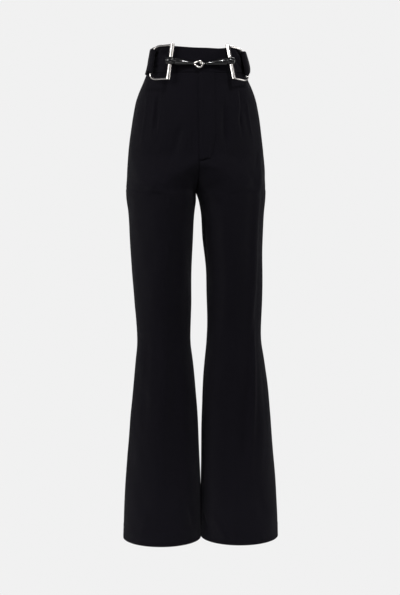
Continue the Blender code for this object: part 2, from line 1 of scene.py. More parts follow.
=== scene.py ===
# %% [markdown]
# # Black flared trousers with their own belt
# The real trousers are four long panels of black crepe, seamed at the sides, down the
# inside of the legs and along the rise, with a shaped waistband on top. They hang filled
# out, as if worn. The belt is a cloth band whose ends fold round two dee rings, and a
# jointed bit with two glossy arms closes it across the front.
#
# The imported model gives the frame: every piece below is built in its coordinates, in
# metres, with the front towards -Y and the wearer's left side at +X.

# %% Load the frame
import math

import bmesh
import bpy
import numpy as np
from mathutils import Matrix, Vector


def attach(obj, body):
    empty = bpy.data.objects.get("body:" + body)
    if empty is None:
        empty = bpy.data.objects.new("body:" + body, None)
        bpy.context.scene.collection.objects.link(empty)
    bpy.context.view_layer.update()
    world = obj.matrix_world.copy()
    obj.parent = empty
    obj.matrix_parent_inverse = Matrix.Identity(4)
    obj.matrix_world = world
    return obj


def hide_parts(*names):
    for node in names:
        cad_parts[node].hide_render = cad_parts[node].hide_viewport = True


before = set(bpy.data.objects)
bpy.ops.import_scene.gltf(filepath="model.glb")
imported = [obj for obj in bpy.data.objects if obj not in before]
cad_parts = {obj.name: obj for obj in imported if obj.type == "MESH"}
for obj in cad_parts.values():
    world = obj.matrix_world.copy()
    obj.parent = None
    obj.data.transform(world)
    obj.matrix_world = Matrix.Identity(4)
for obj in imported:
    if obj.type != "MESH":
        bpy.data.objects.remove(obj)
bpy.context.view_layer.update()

print("CAD nodes:", ", ".join(sorted(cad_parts)))

# %% [markdown]
# ## The garment's form
# A pattern cutter would give a size at the waist, the hip, the knee and the hem. Here a
# short table does the same: each row is a level section through the garment. A smooth
# curve runs through each column, so a section can be read at any height. The values are
# those of the model's own source, so the cloth lies on its solids.

# %% Sizes of the garment
CLOTH = 0.0015            # wall of a panel
SEAM = 0.0003             # what lies on a panel stands this far off it
CLOSE = 0.00004           # gap between two edges that are sewn together
WAISTBAND_DEPTH = 0.0545
WAISTBAND_PROUD = 0.0010  # the doubled waistband stands this far out of the panels
WAISTBAND_WALL = 0.0025
RISE_START = -0.235       # the rise curve leaves the vertical here
CROTCH = -0.330
HEM = -1.167
THIGH_POWER = 0.68        # the thighs are fuller than ellipses where they meet
THIGH_FADE = 0.24         # and round again this far below the crotch
SWAY = 0.0113             # the legs stand this far towards +X below the knee
SWAY_FROM, SWAY_TO = -0.38, -0.85
DART = 0.465              # share of a panel's width where its dart lies
DART_HALF = 0.022
SIDE_SIGN = {"right": -1.0, "left": 1.0}   # the wearer's right side is at -X
STEP_TURN, STEP_DROP = 0.004, 0.0004       # steps that a slope is measured over

SECTION_COLUMNS = ("z", "half_width", "front", "back", "side", "half_gap", "gap_x")
SECTIONS = (
    (0.020, 0.1015, -0.0845, 0.0840, 0.0000, 0.0, 0.0),
    (0.000, 0.1035, -0.0860, 0.0860, 0.0000, 0.0, 0.0),
    (-0.030, 0.1085, -0.0900, 0.0905, 0.0010, 0.0, 0.0),
    (-0.055, 0.1145, -0.0930, 0.0960, 0.0020, 0.0, 0.0),
    (-0.075, 0.1225, -0.0955, 0.1020, 0.0030, 0.0, 0.0),
    (-0.095, 0.1315, -0.0980, 0.1085, 0.0040, 0.0, 0.0),
    (-0.117, 0.1395, -0.1005, 0.1160, 0.0050, 0.0, 0.0),
    (-0.150, 0.1463, -0.1040, 0.1245, 0.0060, 0.0, 0.0),
    (-0.187, 0.1520, -0.1070, 0.1305, 0.0080, 0.0, 0.0),
    (-0.222, 0.1567, -0.1090, 0.1340, 0.0095, 0.0, 0.0),
    (-0.256, 0.1600, -0.1098, 0.1345, 0.0100, 0.0, 0.0),
    (-0.290, 0.1628, -0.1088, 0.1315, 0.0100, 0.0, 0.0),
    (-0.330, 0.1635, -0.1060, 0.1250, 0.0100, 0.0, 0.0),
    (-0.350, 0.1625, -0.1042, 0.1205, 0.0095, 0.0040, 0.0030),
    (-0.3735, 0.1600, -0.1018, 0.1155, 0.0088, 0.0079, 0.0038),
    (-0.445, 0.1570, -0.0945, 0.1020, 0.0065, 0.0119, 0.0039),
    (-0.515, 0.1552, -0.0870, 0.0920, 0.0045, 0.0172, 0.0040),
    (-0.587, 0.1517, -0.0785, 0.0815, 0.0030, 0.0185, 0.0020),
    (-0.635, 0.1492, -0.0720, 0.0745, 0.0020, 0.0204, 0.0),
    (-0.690, 0.1486, -0.0700, 0.0730, 0.0020, 0.0195, -0.0026),
    (-0.731, 0.1540, -0.0720, 0.0770, 0.0025, 0.0153, -0.0030),
    (-0.804, 0.1617, -0.0755, 0.0810, 0.0030, 0.0097, -0.0032),
    (-0.877, 0.1693, -0.0780, 0.0840, 0.0035, 0.0055, -0.0026),
    (-0.950, 0.1751, -0.0800, 0.0862, 0.0040, 0.0023, -0.0015),
    (-1.024, 0.1802, -0.0820, 0.0880, 0.0040, 0.0004, 0.0),
    (-1.098, 0.1848, -0.0836, 0.0900, 0.0040, 0.0002, 0.0),
    (-1.187, 0.1890, -0.0850, 0.0920, 0.0040, 0.0002, 0.0),
)


# %% Read a section at any height
def ease(t):
    """A smooth step from 0 to 1: three times the square less twice the cube."""
    t = np.clip(t, 0.0, 1.0)
    return t * t * (3.0 - 2.0 * t)


def read_section(z):
    """Each column of SECTIONS at height z: a cubic through two rows and their slopes."""
    table = np.array(SECTIONS)[::-1]
    heights = table[:, 0]
    z = np.asarray(z, dtype=float)
    found = {}
    for index, name in enumerate(SECTION_COLUMNS[1:], start=1):
        values = table[:, index]
        slopes = np.gradient(values, heights)
        k = np.clip(np.searchsorted(heights, z) - 1, 0, len(heights) - 2)
        step = heights[k + 1] - heights[k]
        t = (z - heights[k]) / step
        found[name] = ((1 + 2 * t) * (1 - t) ** 2 * values[k]
                       + t * (1 - t) ** 2 * step * slopes[k]
                       + t ** 2 * (3 - 2 * t) * values[k + 1]
                       + t ** 2 * (t - 1) * step * slopes[k + 1])
    return found


waist = read_section(0.0)
print(f"waist is {2000 * float(waist['half_width']):.0f} mm across")


# %% Points on the cloth's outer face
def loop_of_leg(side, z):
    """The section at a height, and the centre and half-width of one leg's ellipse.

    Above the rise both ellipses share the middle plane as their centre. Down the rise
    their centres move apart until they only touch, at the crotch.
    """
    section = read_section(z)
    parted = ease((RISE_START - z) / (RISE_START - CROTCH))
    gap = np.maximum(section["half_gap"] + SIDE_SIGN[side] * section["gap_x"], CLOSE / 2)
    outer = section["half_width"]
    half = np.where(z > CROTCH, outer / (1.0 + parted), (outer - gap) / 2.0)
    return section, outer - half, half


def first_angle(side, z):
    """Angle on the leg's ellipse where a panel starts: the middle plane or inseam."""
    _, centre, half = loop_of_leg(side, z)
    start = np.arccos(np.clip((centre - CLOSE / 2) / half, -1.0, 1.0))
    return np.maximum(start, CLOSE / 2 / half)


def last_angle(z):
    """Angle of the side seam, half a seam short of the side itself."""
    section = read_section(z)
    return math.pi - CLOSE / 2 / (section["side"] - section["front"])


def sway_at(z):
    """How far both legs stand towards +X at a height."""
    return SWAY * ease((SWAY_FROM - z) / (SWAY_FROM - SWAY_TO))


def depth_share(angle, z):
    """The sine of the angle; on a thigh's inner side to a power under 1, so fuller."""
    fullness = (1.0 - THIGH_POWER) * (ease((RISE_START - z) / (RISE_START - CROTCH))
                                      * (1.0 - ease((CROTCH - z) / THIGH_FADE)))
    power = np.where(angle < math.pi / 2, 1.0 - fullness, 1.0)
    sine = np.sin(angle)
    return np.sign(sine) * np.abs(sine) ** power


def base_point(side, half_name, angle, z):
    """Across is the centre less the half-width times the cosine; along is its depth."""
    section, centre, half = loop_of_leg(side, z)
    across = centre - half * np.cos(angle)
    deep = depth_share(angle, z)
    if half_name == "front":
        along = section["side"] - (section["side"] - section["front"]) * deep
    else:
        along = section["side"] + (section["back"] - section["side"]) * deep
    return np.stack([SIDE_SIGN[side] * across + sway_at(z), along, z + 0.0 * across],
                    axis=-1)


def place(side, half_name, angle, z, out):
    """The base point, moved out along the face's normal: turn slope cross drop slope.

    A point that would pass the middle plane stops at it, as one leg's cloth stops at
    the other's.
    """
    angle, z, out = np.broadcast_arrays(np.asarray(angle, float), np.asarray(z, float),
                                        np.asarray(out, float))
    turn = (base_point(side, half_name, angle + STEP_TURN, z)
            - base_point(side, half_name, angle - STEP_TURN, z))
    drop = (base_point(side, half_name, angle, z + STEP_DROP)
            - base_point(side, half_name, angle, z - STEP_DROP))
    normal = np.cross(turn, drop)
    normal /= np.linalg.norm(normal, axis=-1, keepdims=True)
    flip = -1.0 if (SIDE_SIGN[side] > 0) == (half_name == "front") else 1.0
    points = base_point(side, half_name, angle, z) - flip * normal * out[..., None]
    from_middle = SIDE_SIGN[side] * (points[..., 0] - sway_at(z))
    points[..., 0] += SIDE_SIGN[side] * np.maximum(CLOSE / 2 - from_middle, 0.0)
    return points


def around(theta, z, out):
    """A point off the face by its angle round the waist, 0 at the front, + to +X."""
    theta, z, out = np.broadcast_arrays(np.asarray(theta, float), np.asarray(z, float),
                                        np.asarray(out, float))
    turn = np.abs(theta)
    points = np.zeros(theta.shape + (3,))
    for side in ("right", "left"):
        for half_name in ("front", "back"):
            here = ((theta >= 0) == (side == "left")) & (
                (turn <= math.pi / 2) == (half_name == "front"))
            angle = (math.pi / 2 + turn if half_name == "front"
                     else 3 * math.pi / 2 - turn)
            points[here] = place(side, half_name, angle, z, out)[here]
    return points


print("front of the hip:", np.round(around(0.0, -0.20, 0.0), 4))

# %% [markdown]
# ## Folds, darts and creases
# Crepe that hangs from a waistband is never quite smooth. The widest folds are part of
# the solids. Over them come the creases that show from a step away: the pull lines that
# fan out from the crotch, the fall at the foot of each dart, the break behind the knee,
# and long soft ripples down the flare. Each is a row of a table: a line on the panel
# from one share of its width and height to another, with its own bend, breadth and
# depth. All differ, as they do on a real pair.

# %% Darts and widest folds, as in the solids
DART_OPENS = 0.02         # a dart's groove dies out over this, below its stitching
DART_SPREADS = 0.012      # its dimple reaches this far past both ends
DART_COLUMNS = ("half", "stitched_to", "ends_at", "groove", "dimple")
DARTS = (
    ("front", -0.133, -0.205, 0.0006, 0.0022),
    ("back", -0.150, -0.205, 0.0006, 0.0009),
)
FOLD_COLUMNS = ("side", "half", "column", "lean", "half_breadth", "top", "foot", "height")
FOLDS = (
    ("right", "front", 0.30, -0.06, 0.20, -0.115, -0.300, -0.0022),
    ("left", "front", 0.28, -0.02, 0.18, -0.105, -0.290, -0.0024),
    ("right", "front", 0.62, 0.04, 0.24, -0.250, -0.480, 0.0020),
    ("left", "front", 0.70, 0.04, 0.22, -0.270, -0.520, 0.0018),
    ("right", "front", 0.66, -0.04, 0.22, -0.640, -1.060, 0.0026),
    ("left", "front", 0.72, 0.02, 0.20, -0.680, -1.040, 0.0030),
    ("right", "front", 0.34, 0.02, 0.22, -0.700, -1.150, -0.0022),
    ("left", "front", 0.40, 0.02, 0.24, -0.660, -1.120, -0.0024),
    ("right", "back", 0.50, 0.05, 0.26, -0.300, -0.560, -0.0024),
    ("left", "back", 0.46, 0.04, 0.24, -0.310, -0.580, -0.0026),
    ("right", "back", 0.64, 0.00, 0.24, -0.680, -1.120, 0.0030),
    ("left", "back", 0.58, 0.02, 0.26, -0.660, -1.100, 0.0028),
    ("right", "back", 0.30, 0.00, 0.22, -0.740, -1.150, -0.0024),
    ("left", "back", 0.26, 0.02, 0.20, -0.760, -1.150, -0.0026),
)


def bump(t):
    """A hump of height 1 over -1..1: half of one plus the cosine."""
    return np.where(np.abs(t) < 1.0, 0.5 + 0.5 * np.cos(np.pi * np.clip(t, -1, 1)), 0.0)


def fold_relief(side, half_name, column, z):
    """How far the darts and the widest folds move the outer face out."""
    out = np.zeros(np.broadcast(column, z).shape)
    for row in DARTS:
        dart = dict(zip(DART_COLUMNS, row))
        if dart["half"] != half_name:
            continue
        groove = dart["groove"] * ease((z - dart["stitched_to"]) / DART_OPENS)
        middle = (dart["stitched_to"] + dart["ends_at"]) / 2
        reach = (dart["stitched_to"] - dart["ends_at"]) / 2 + DART_SPREADS
        dimple = dart["dimple"] * bump((z - middle) / reach)
        out = out - (groove + dimple) * bump((column - DART) / (2 * DART_HALF))
    for row in FOLDS:
        fold = dict(zip(FOLD_COLUMNS, row))
        if (fold["side"], fold["half"]) != (side, half_name):
            continue
        share = (fold["top"] - z) / (fold["top"] - fold["foot"])
        middle = fold["column"] + fold["lean"] * share
        out = out + (fold["height"] * bump(2 * share - 1)
                     * bump((column - middle) / fold["half_breadth"]))
    return out


print(len(DARTS), "kinds of dart,", len(FOLDS), "wide folds")

# %% Creases laid one by one
CREASE_COLUMNS = ("side", "half", "from_share", "from_z", "to_share", "to_z", "bend",
                  "breadth", "height")
CREASES = (
    # the foot of each front dart: a lip, a fall that comes back slowly, and its fork
    ("right", "front", 0.516, -0.106, 0.500, -0.186, 0.000, 0.0036, 0.0016),
    ("right", "front", 0.490, -0.106, 0.474, -0.178, 0.000, 0.0034, -0.0026),
    ("right", "front", 0.464, -0.104, 0.448, -0.182, 0.000, 0.0062, -0.0024),
    ("right", "front", 0.424, -0.104, 0.412, -0.186, 0.000, 0.0110, -0.0014),
    ("right", "front", 0.470, -0.156, 0.428, -0.200, 0.000, 0.0030, -0.0016),
    ("right", "front", 0.480, -0.180, 0.446, -0.222, 0.000, 0.0090, 0.0012),
    ("left", "front", 0.488, -0.088, 0.442, -0.166, 0.000, 0.0060, 0.0006),
    ("left", "front", 0.520, -0.088, 0.474, -0.160, 0.000, 0.0034, -0.0025),
    ("left", "front", 0.546, -0.086, 0.500, -0.164, 0.000, 0.0062, -0.0022),
    ("left", "front", 0.586, -0.090, 0.540, -0.168, 0.000, 0.0110, -0.0012),
    ("left", "front", 0.484, -0.138, 0.450, -0.182, 0.000, 0.0030, -0.0015),
    # hollows beside the fly, each with the ridge that it falls from
    ("right", "front", 0.290, -0.160, 0.410, -0.262, 0.000, 0.0110, 0.0018),
    ("right", "front", 0.185, -0.165, 0.285, -0.268, 0.003, 0.0080, -0.0044),
    ("left", "front", 0.290, -0.108, 0.246, -0.244, 0.000, 0.0074, -0.0048),
    ("right", "front", 0.072, -0.170, 0.055, -0.262, 0.002, 0.0055, -0.0015),
    ("left", "front", 0.165, -0.190, 0.125, -0.272, 0.003, 0.0055, -0.0016),
    # pocket bags, showing as a soft upright line
    ("right", "front", 0.655, -0.090, 0.640, -0.240, 0.003, 0.0045, 0.0008),
    ("left", "front", 0.608, -0.098, 0.632, -0.228, 0.002, 0.0038, 0.0014),
    ("left", "front", 0.560, -0.110, 0.572, -0.215, 0.002, 0.0050, -0.0008),
    ("left", "front", 0.695, -0.234, 0.636, -0.276, 0.000, 0.0050, -0.0012),
    # the foot of the fly: the tack's dark line and the light roll under it
    ("left", "front", -0.070, -0.2600, 0.115, -0.2490, 0.000, 0.0028, -0.0056),
    ("left", "front", -0.080, -0.2600, 0.260, -0.2735, 0.000, 0.0062, 0.0024),
    # pull lines from the crotch
    ("right", "front", -0.300, -0.224, 0.760, -0.336, 0.002, 0.0115, 0.0028),
    ("right", "front", -0.200, -0.262, 0.680, -0.366, 0.004, 0.0150, -0.0006),
    ("right", "front", 0.340, -0.282, 0.600, -0.334, 0.000, 0.0050, -0.0014),
    ("right", "front", 0.360, -0.316, 0.520, -0.288, 0.000, 0.0045, 0.0008),
    ("right", "front", -0.080, -0.300, 0.440, -0.400, 0.010, 0.0090, -0.0008),
    ("left", "front", -0.060, -0.294, 0.420, -0.344, 0.000, 0.0200, 0.0024),
    ("left", "front", -0.040, -0.346, 0.420, -0.398, 0.000, 0.0220, 0.0024),
    ("left", "front", 0.260, -0.230, 0.460, -0.272, 0.000, 0.0060, -0.0013),
    ("left", "front", 0.480, -0.262, 0.740, -0.330, 0.000, 0.0070, -0.0015),
    # thighs: a long soft crest down each leg, and the fall beside the inseam
    ("right", "front", 0.450, -0.215, 0.520, -0.700, -0.002, 0.0260, 0.0060),
    ("right", "front", 0.250, -0.300, 0.280, -0.640, 0.000, 0.0240, 0.0028),
    ("left", "front", 0.060, -0.340, 0.055, -0.660, 0.000, 0.0075, -0.0018),
    ("left", "front", 0.430, -0.300, 0.400, -0.680, 0.000, 0.0260, 0.0050),
    ("left", "front", 0.560, -0.300, 0.640, -0.680, 0.000, 0.0190, 0.0016),
    ("left", "front", 0.745, -0.220, 0.660, -0.740, 0.000, 0.0115, 0.0066),
    # flares, front
    ("right", "front", 0.490, -0.560, 0.555, -1.160, -0.003, 0.0170, 0.0036),
    ("right", "front", 0.385, -0.580, 0.430, -1.160, -0.003, 0.0200, -0.0030),
    ("right", "front", 0.735, -0.600, 0.690, -1.050, 0.000, 0.0140, -0.0018),
    ("right", "front", 0.250, -0.740, 0.270, -1.120, -0.004, 0.0150, 0.0012),
    ("left", "front", 0.760, -0.600, 0.560, -1.060, 0.006, 0.0068, 0.0056),
    ("left", "front", 0.650, -0.600, 0.500, -1.080, 0.004, 0.0120, -0.0016),
    ("left", "front", 0.830, -0.690, 0.700, -1.060, -0.003, 0.0090, -0.0010),
    ("left", "front", 0.400, -0.700, 0.430, -1.110, 0.005, 0.0160, -0.0016),
    # the fall beside the inseams where the flares touch
    ("right", "front", 0.036, -0.950, 0.036, -1.175, 0.000, 0.0060, -0.0026),
    ("left", "front", 0.034, -0.940, 0.034, -1.180, 0.000, 0.0065, -0.0032),
    # small puckers of the hem's turning
    ("left", "front", 0.080, -1.090, 0.220, -1.164, 0.000, 0.0055, -0.0020),
    ("left", "front", 0.200, -1.084, 0.380, -1.160, 0.000, 0.0060, 0.0017),
    ("left", "front", 0.320, -1.104, 0.430, -1.164, 0.000, 0.0050, -0.0015),
    ("left", "front", 0.640, -1.020, 0.700, -1.120, 0.000, 0.0090, -0.0022),
    ("right", "front", 0.380, -0.990, 0.300, -1.070, 0.000, 0.0090, -0.0024),
    ("right", "front", 0.290, -1.060, 0.200, -1.140, 0.000, 0.0080, -0.0024),
    ("right", "front", 0.620, -1.090, 0.740, -1.160, 0.000, 0.0080, 0.0016),
    # seat and thighs, back
    ("right", "back", 0.020, -0.290, 0.520, -0.372, 0.016, 0.0080, -0.0022),
    ("right", "back", 0.040, -0.322, 0.600, -0.418, 0.014, 0.0090, -0.0018),
    ("right", "back", 0.200, -0.270, 0.640, -0.330, 0.010, 0.0075, -0.0012),
    ("right", "back", 0.120, -0.372, 0.460, -0.446, 0.010, 0.0070, -0.0013),
    ("left", "back", 0.020, -0.300, 0.560, -0.360, 0.014, 0.0085, -0.0020),
    ("left", "back", 0.060, -0.336, 0.520, -0.436, 0.015, 0.0080, -0.0019),
    ("left", "back", 0.260, -0.282, 0.680, -0.322, 0.008, 0.0075, -0.0010),
    ("left", "back", 0.100, -0.392, 0.420, -0.470, 0.009, 0.0075, -0.0012),
    ("right", "back", 0.240, -0.140, 0.200, -0.235, 0.003, 0.0100, -0.0009),
    ("left", "back", 0.220, -0.150, 0.190, -0.245, -0.003, 0.0100, -0.0010),
    # breaks behind the knees
    ("right", "back", 0.080, -0.602, 0.700, -0.640, -0.010, 0.0075, -0.0019),
    ("right", "back", 0.240, -0.648, 0.860, -0.668, -0.008, 0.0070, -0.0015),
    ("right", "back", 0.140, -0.556, 0.580, -0.588, -0.008, 0.0065, -0.0012),
    ("left", "back", 0.060, -0.612, 0.640, -0.636, -0.010, 0.0075, -0.0018),
    ("left", "back", 0.280, -0.660, 0.840, -0.690, -0.006, 0.0070, -0.0014),
    ("left", "back", 0.180, -0.566, 0.620, -0.584, -0.007, 0.0065, -0.0013),
    # flares, back
    ("right", "back", 0.720, -0.700, 0.700, -1.120, 0.004, 0.0120, -0.0016),
    ("right", "back", 0.460, -0.720, 0.470, -1.110, -0.005, 0.0120, 0.0014),
    ("left", "back", 0.700, -0.690, 0.690, -1.110, -0.004, 0.0110, -0.0015),
    ("left", "back", 0.420, -0.740, 0.410, -1.120, 0.005, 0.0130, 0.0013),
)
LIP = 0.15                # a crease pushes up a lip beside it, this share of its height
LIP_AWAY, LIP_BREADTH = 2.2, 1.4   # the lip's place and breadth, in the crease's breadths
FADE_IN, FADE_OUT = 0.30, 0.40     # shares of a crease over which it grows and dies
EDGE_CALM = 0.009         # creases die out over this beside a seam


def panel_width(side, half_name, z):
    """Width of a panel at a height: the summed lengths of 32 steps round its ellipse."""
    z = np.atleast_1d(np.asarray(z, float))[:, None]
    start, end = first_angle(side, z), last_angle(z)
    angle = start + (end - start) * np.linspace(0.0, 1.0, 33)[None, :]
    points = base_point(side, half_name, angle, z)
    return np.linalg.norm(np.diff(points, axis=1), axis=-1).sum(axis=1)


def line_relief(rows, across, z):
    """Each line: a bell across it, with a lip, that grows and dies along it.

    A row is a line's two ends, (across, z) each, its bend, breadth and height.
    """
    out = np.zeros(np.broadcast(across, z).shape)
    for start_x, start_z, end_x, end_z, bend, breadth, height in rows:
        run_x, run_z = end_x - start_x, end_z - start_z
        length = math.hypot(run_x, run_z)
        t = ((across - start_x) * run_x + (z - start_z) * run_z) / length ** 2
        aside = ((across - start_x) * run_z - (z - start_z) * run_x) / length
        aside = (aside - bend * 4 * t * (1 - t)) / breadth
        fade = ease(t / FADE_IN) * ease((1 - t) / FADE_OUT)
        out += height * fade * (np.exp(-aside ** 2)
                                - LIP * np.exp(-((aside - LIP_AWAY) / LIP_BREADTH) ** 2))
    return out


def crease_relief(side, half_name, column, z):
    """The panel's rows of CREASES, in metres by its width at each crease's middle."""
    out = np.zeros(np.broadcast(column, z).shape)
    for row in CREASES:
        crease = dict(zip(CREASE_COLUMNS, row))
        if (crease["side"], crease["half"]) != (side, half_name):
            continue
        middle = (crease["from_z"] + crease["to_z"]) / 2
        width = panel_width(side, half_name, middle)[0]
        line = (crease["from_share"] * width, crease["from_z"],
                crease["to_share"] * width, crease["to_z"], *row[6:])
        out += line_relief([line], column * width, z)
    return out


print(len(CREASES), "creases laid by hand")

# %% Slow unevenness, seam roll and hem
WAVE_LENGTHS = (0.052, 0.071, 0.094, 0.133, 0.180)
WAVE_HEIGHT = 0.00040     # of the longest wave; the shorter ones are lower
ROLL_DEPTH, ROLL_REACH = 0.0010, 0.0030   # a seam draws the cloth in beside it
PANEL_TOP = -WAISTBAND_DEPTH - CLOSE / 2
HEM_DEPTH = 0.036         # the hem is turned up this far
HEM_SWELL, HEM_STEP = 0.0005, 0.004   # and the turning's edge shows by this, over this
CALM_TOP, CALM_HEM, CALM_SEAM = 0.03, 0.05, 0.010   # the waves die out over these
SEED = {("right", "front"): 3, ("left", "front"): 11, ("right", "back"): 17,
        ("left", "back"): 29}


def unevenness(side, half_name, across, z):
    """A sum of slow waves, each with its own length, slant and phase."""
    rng = np.random.default_rng(SEED[side, half_name])
    out = np.zeros(across.shape)
    for length in WAVE_LENGTHS:
        slant, phase = rng.uniform(-0.5, 0.5), rng.uniform(0, 2 * math.pi)
        height = WAVE_HEIGHT * length / WAVE_LENGTHS[-1]
        wave = across * math.cos(slant) + z * math.sin(slant)
        drift = 0.3 * np.sin(z * 9.0 + phase)
        out += height * 2.0 * np.sin(2 * math.pi * wave / length + phase + drift)
    return out


def relief(side, half_name, column, z):
    """All that moves a panel's outer face: folds, creases, waves, seam roll and hem."""
    width = panel_width(side, half_name, z[:, 0])[:, None]
    across = column * width
    to_edge = np.minimum(across, width - across)
    from_top = PANEL_TOP - z
    roll = np.exp(-(to_edge / ROLL_REACH) ** 2) + np.exp(-(from_top / ROLL_REACH) ** 2)
    hem = HEM_SWELL * ease((HEM + HEM_DEPTH - z) / HEM_STEP)
    calm = (ease(from_top / CALM_TOP) * ease((z - HEM) / CALM_HEM)
            * ease(to_edge / CALM_SEAM))
    return (fold_relief(side, half_name, column, z)
            + crease_relief(side, half_name, column, z) * ease(to_edge / EDGE_CALM)
            + unevenness(side, half_name, across, z) * calm
            + hem - ROLL_DEPTH * np.clip(roll, 0.0, 1.0))


# %% [markdown]
# ## From points to a cloth wall
# A net of points is easy to work out with numpy, but cloth has two faces and an edge.
# So each piece is two nets, the outer face and the inner one, closed round their rim. The
# rows and columns are drawn closer where the form turns fast: at seams, darts and hems.
# A UV map in metres along and across the cloth lets the weave follow the piece.

# %% Nets and walls
def drawn_closer(low, high, count, places=()):
    """Numbers from low to high, closer together near some places.

    Each place adds a bell of density, (where, reach, how much); the numbers are even
    steps of the summed density.
    """
    fine = np.linspace(low, high, 4001)
    density = np.ones(fine.shape)
    for where, reach, much in places:
        density += much * np.exp(-((fine - where) / reach) ** 2)
    grown = np.concatenate([[0.0], np.cumsum((density[1:] + density[:-1]) / 2)])
    return np.interp(np.linspace(0.0, grown[-1], count), grown, fine)


def new_mesh(name, points, faces):
    """A mesh from arrays of points and four-sided faces, put in with foreach_set."""
    mesh = bpy.data.meshes.new(name)
    mesh.vertices.add(len(points))
    mesh.vertices.foreach_set("co", np.ascontiguousarray(points, np.float32).ravel())
    mesh.loops.add(faces.size)
    mesh.loops.foreach_set("vertex_index", faces.astype(np.int32).ravel())
    mesh.polygons.add(len(faces))
    starts = np.arange(0, faces.size, faces.shape[1], dtype=np.int32)
    mesh.polygons.foreach_set("loop_start", starts)
    mesh.update(calc_edges=True)
    mesh.validate()
    return mesh


def net_faces(rows, columns, closed_rows=False):
    """Corners of a net's faces: each point, the next, the one below that, the one below."""
    index = np.arange(rows * columns).reshape(rows, columns)
    if closed_rows:
        index = np.concatenate([index, index[:, :1]], axis=1)
    return np.stack([index[:-1, :-1], index[:-1, 1:], index[1:, 1:], index[1:, :-1]],
                    axis=-1).reshape(-1, 4)


def wall_faces(rows, columns):
    """The faces of two nets, one turned over, and of the strip that joins their rims."""
    face = net_faces(rows, columns)
    count = rows * columns
    index = np.arange(count).reshape(rows, columns)
    rim = np.concatenate([index[0, :-1], index[:-1, -1], index[-1, :0:-1],
                          index[:0:-1, 0]])
    ahead = np.roll(rim, -1)
    strip = np.stack([ahead, rim, rim + count, ahead + count], axis=-1)
    return np.concatenate([face, face[:, ::-1] + count, strip])


def signed_volume(points, faces):
    """Six times the volume: over each face's two triangles, a dot b cross c, summed."""
    corner = points[faces]
    a, b, c, d = (corner[:, k] for k in range(4))
    return (a * np.cross(b, c)).sum() + (a * np.cross(c, d)).sum()


def finish_piece(name, mesh, material, replaces=(), sharp=50.0):
    """Link a mesh as a piece that rides on the garment and shades smooth."""
    mesh.polygons.foreach_set("use_smooth", np.ones(len(mesh.polygons), bool))
    mesh.set_sharp_from_angle(angle=math.radians(sharp))
    piece = bpy.data.objects.new(name, mesh)
    bpy.context.scene.collection.objects.link(piece)
    mesh.materials.append(material)
    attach(piece, "root")
    if replaces:
        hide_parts(*replaces)
    return piece


def cloth_wall(name, outer, inner, uv, material, replaces=()):
    """A closed cloth piece from its outer and inner nets, with its UV in metres."""
    rows, columns = outer.shape[:2]
    points = np.concatenate([outer.reshape(-1, 3), inner.reshape(-1, 3)])
    faces = wall_faces(rows, columns)
    if signed_volume(points, faces) < 0:
        faces = faces[:, ::-1]
    mesh = new_mesh(name, points, faces)
    layer = mesh.uv_layers.new(name="cloth")
    corner_uv = np.tile(uv.reshape(-1, 2), (2, 1))[faces.ravel()]
    layer.uv.foreach_set("vector", np.ascontiguousarray(corner_uv, np.float32).ravel())
    return finish_piece(name, mesh, material, replaces)


def uv_of(outer):
    """Metres along each row and down each column of a net, from its first corner."""
    across = np.linalg.norm(np.diff(outer, axis=1), axis=-1)
    down = np.linalg.norm(np.diff(outer, axis=0), axis=-1)
    u = np.concatenate([np.zeros((outer.shape[0], 1)), np.cumsum(across, axis=1)], 1)
    v = np.concatenate([np.zeros((1, outer.shape[1])), np.cumsum(down, axis=0)], 0)
    return np.stack([u, v], axis=-1)


def net_area(net):
    """Area of a net: half the crossed diagonals of each face, summed."""
    a = net[1:, 1:] - net[:-1, :-1]
    b = net[1:, :-1] - net[:-1, 1:]
    return float(np.linalg.norm(np.cross(a, b), axis=-1).sum() / 2)


# %% [markdown]
# ## Shader maths as expressions
# A procedural material is arithmetic on coordinates. Wiring Math nodes by hand hides
# that arithmetic, so a small class stands for a socket and adds a Math node for each
# operator. Colours go through Mix, which keeps them in colour.

# %% Sockets as numbers
class Value:
    """A socket of a material's node tree that Python's operators can work on."""

    def __init__(self, tree, socket):
        self.tree, self.socket = tree, socket

    def math(self, operation, *others):
        node = self.tree.nodes.new("ShaderNodeMath")
        node.operation = operation
        for slot_in, value in zip(node.inputs, (self, *others)):
            if isinstance(value, Value):
                self.tree.links.new(value.socket, slot_in)
            else:
                slot_in.default_value = value
        return Value(self.tree, node.outputs[0])

    def __add__(self, other): return self.math("ADD", other)
    def __mul__(self, other): return self.math("MULTIPLY", other)
    __radd__, __rmul__ = __add__, __mul__

    def sine(self): return self.math("SINE")


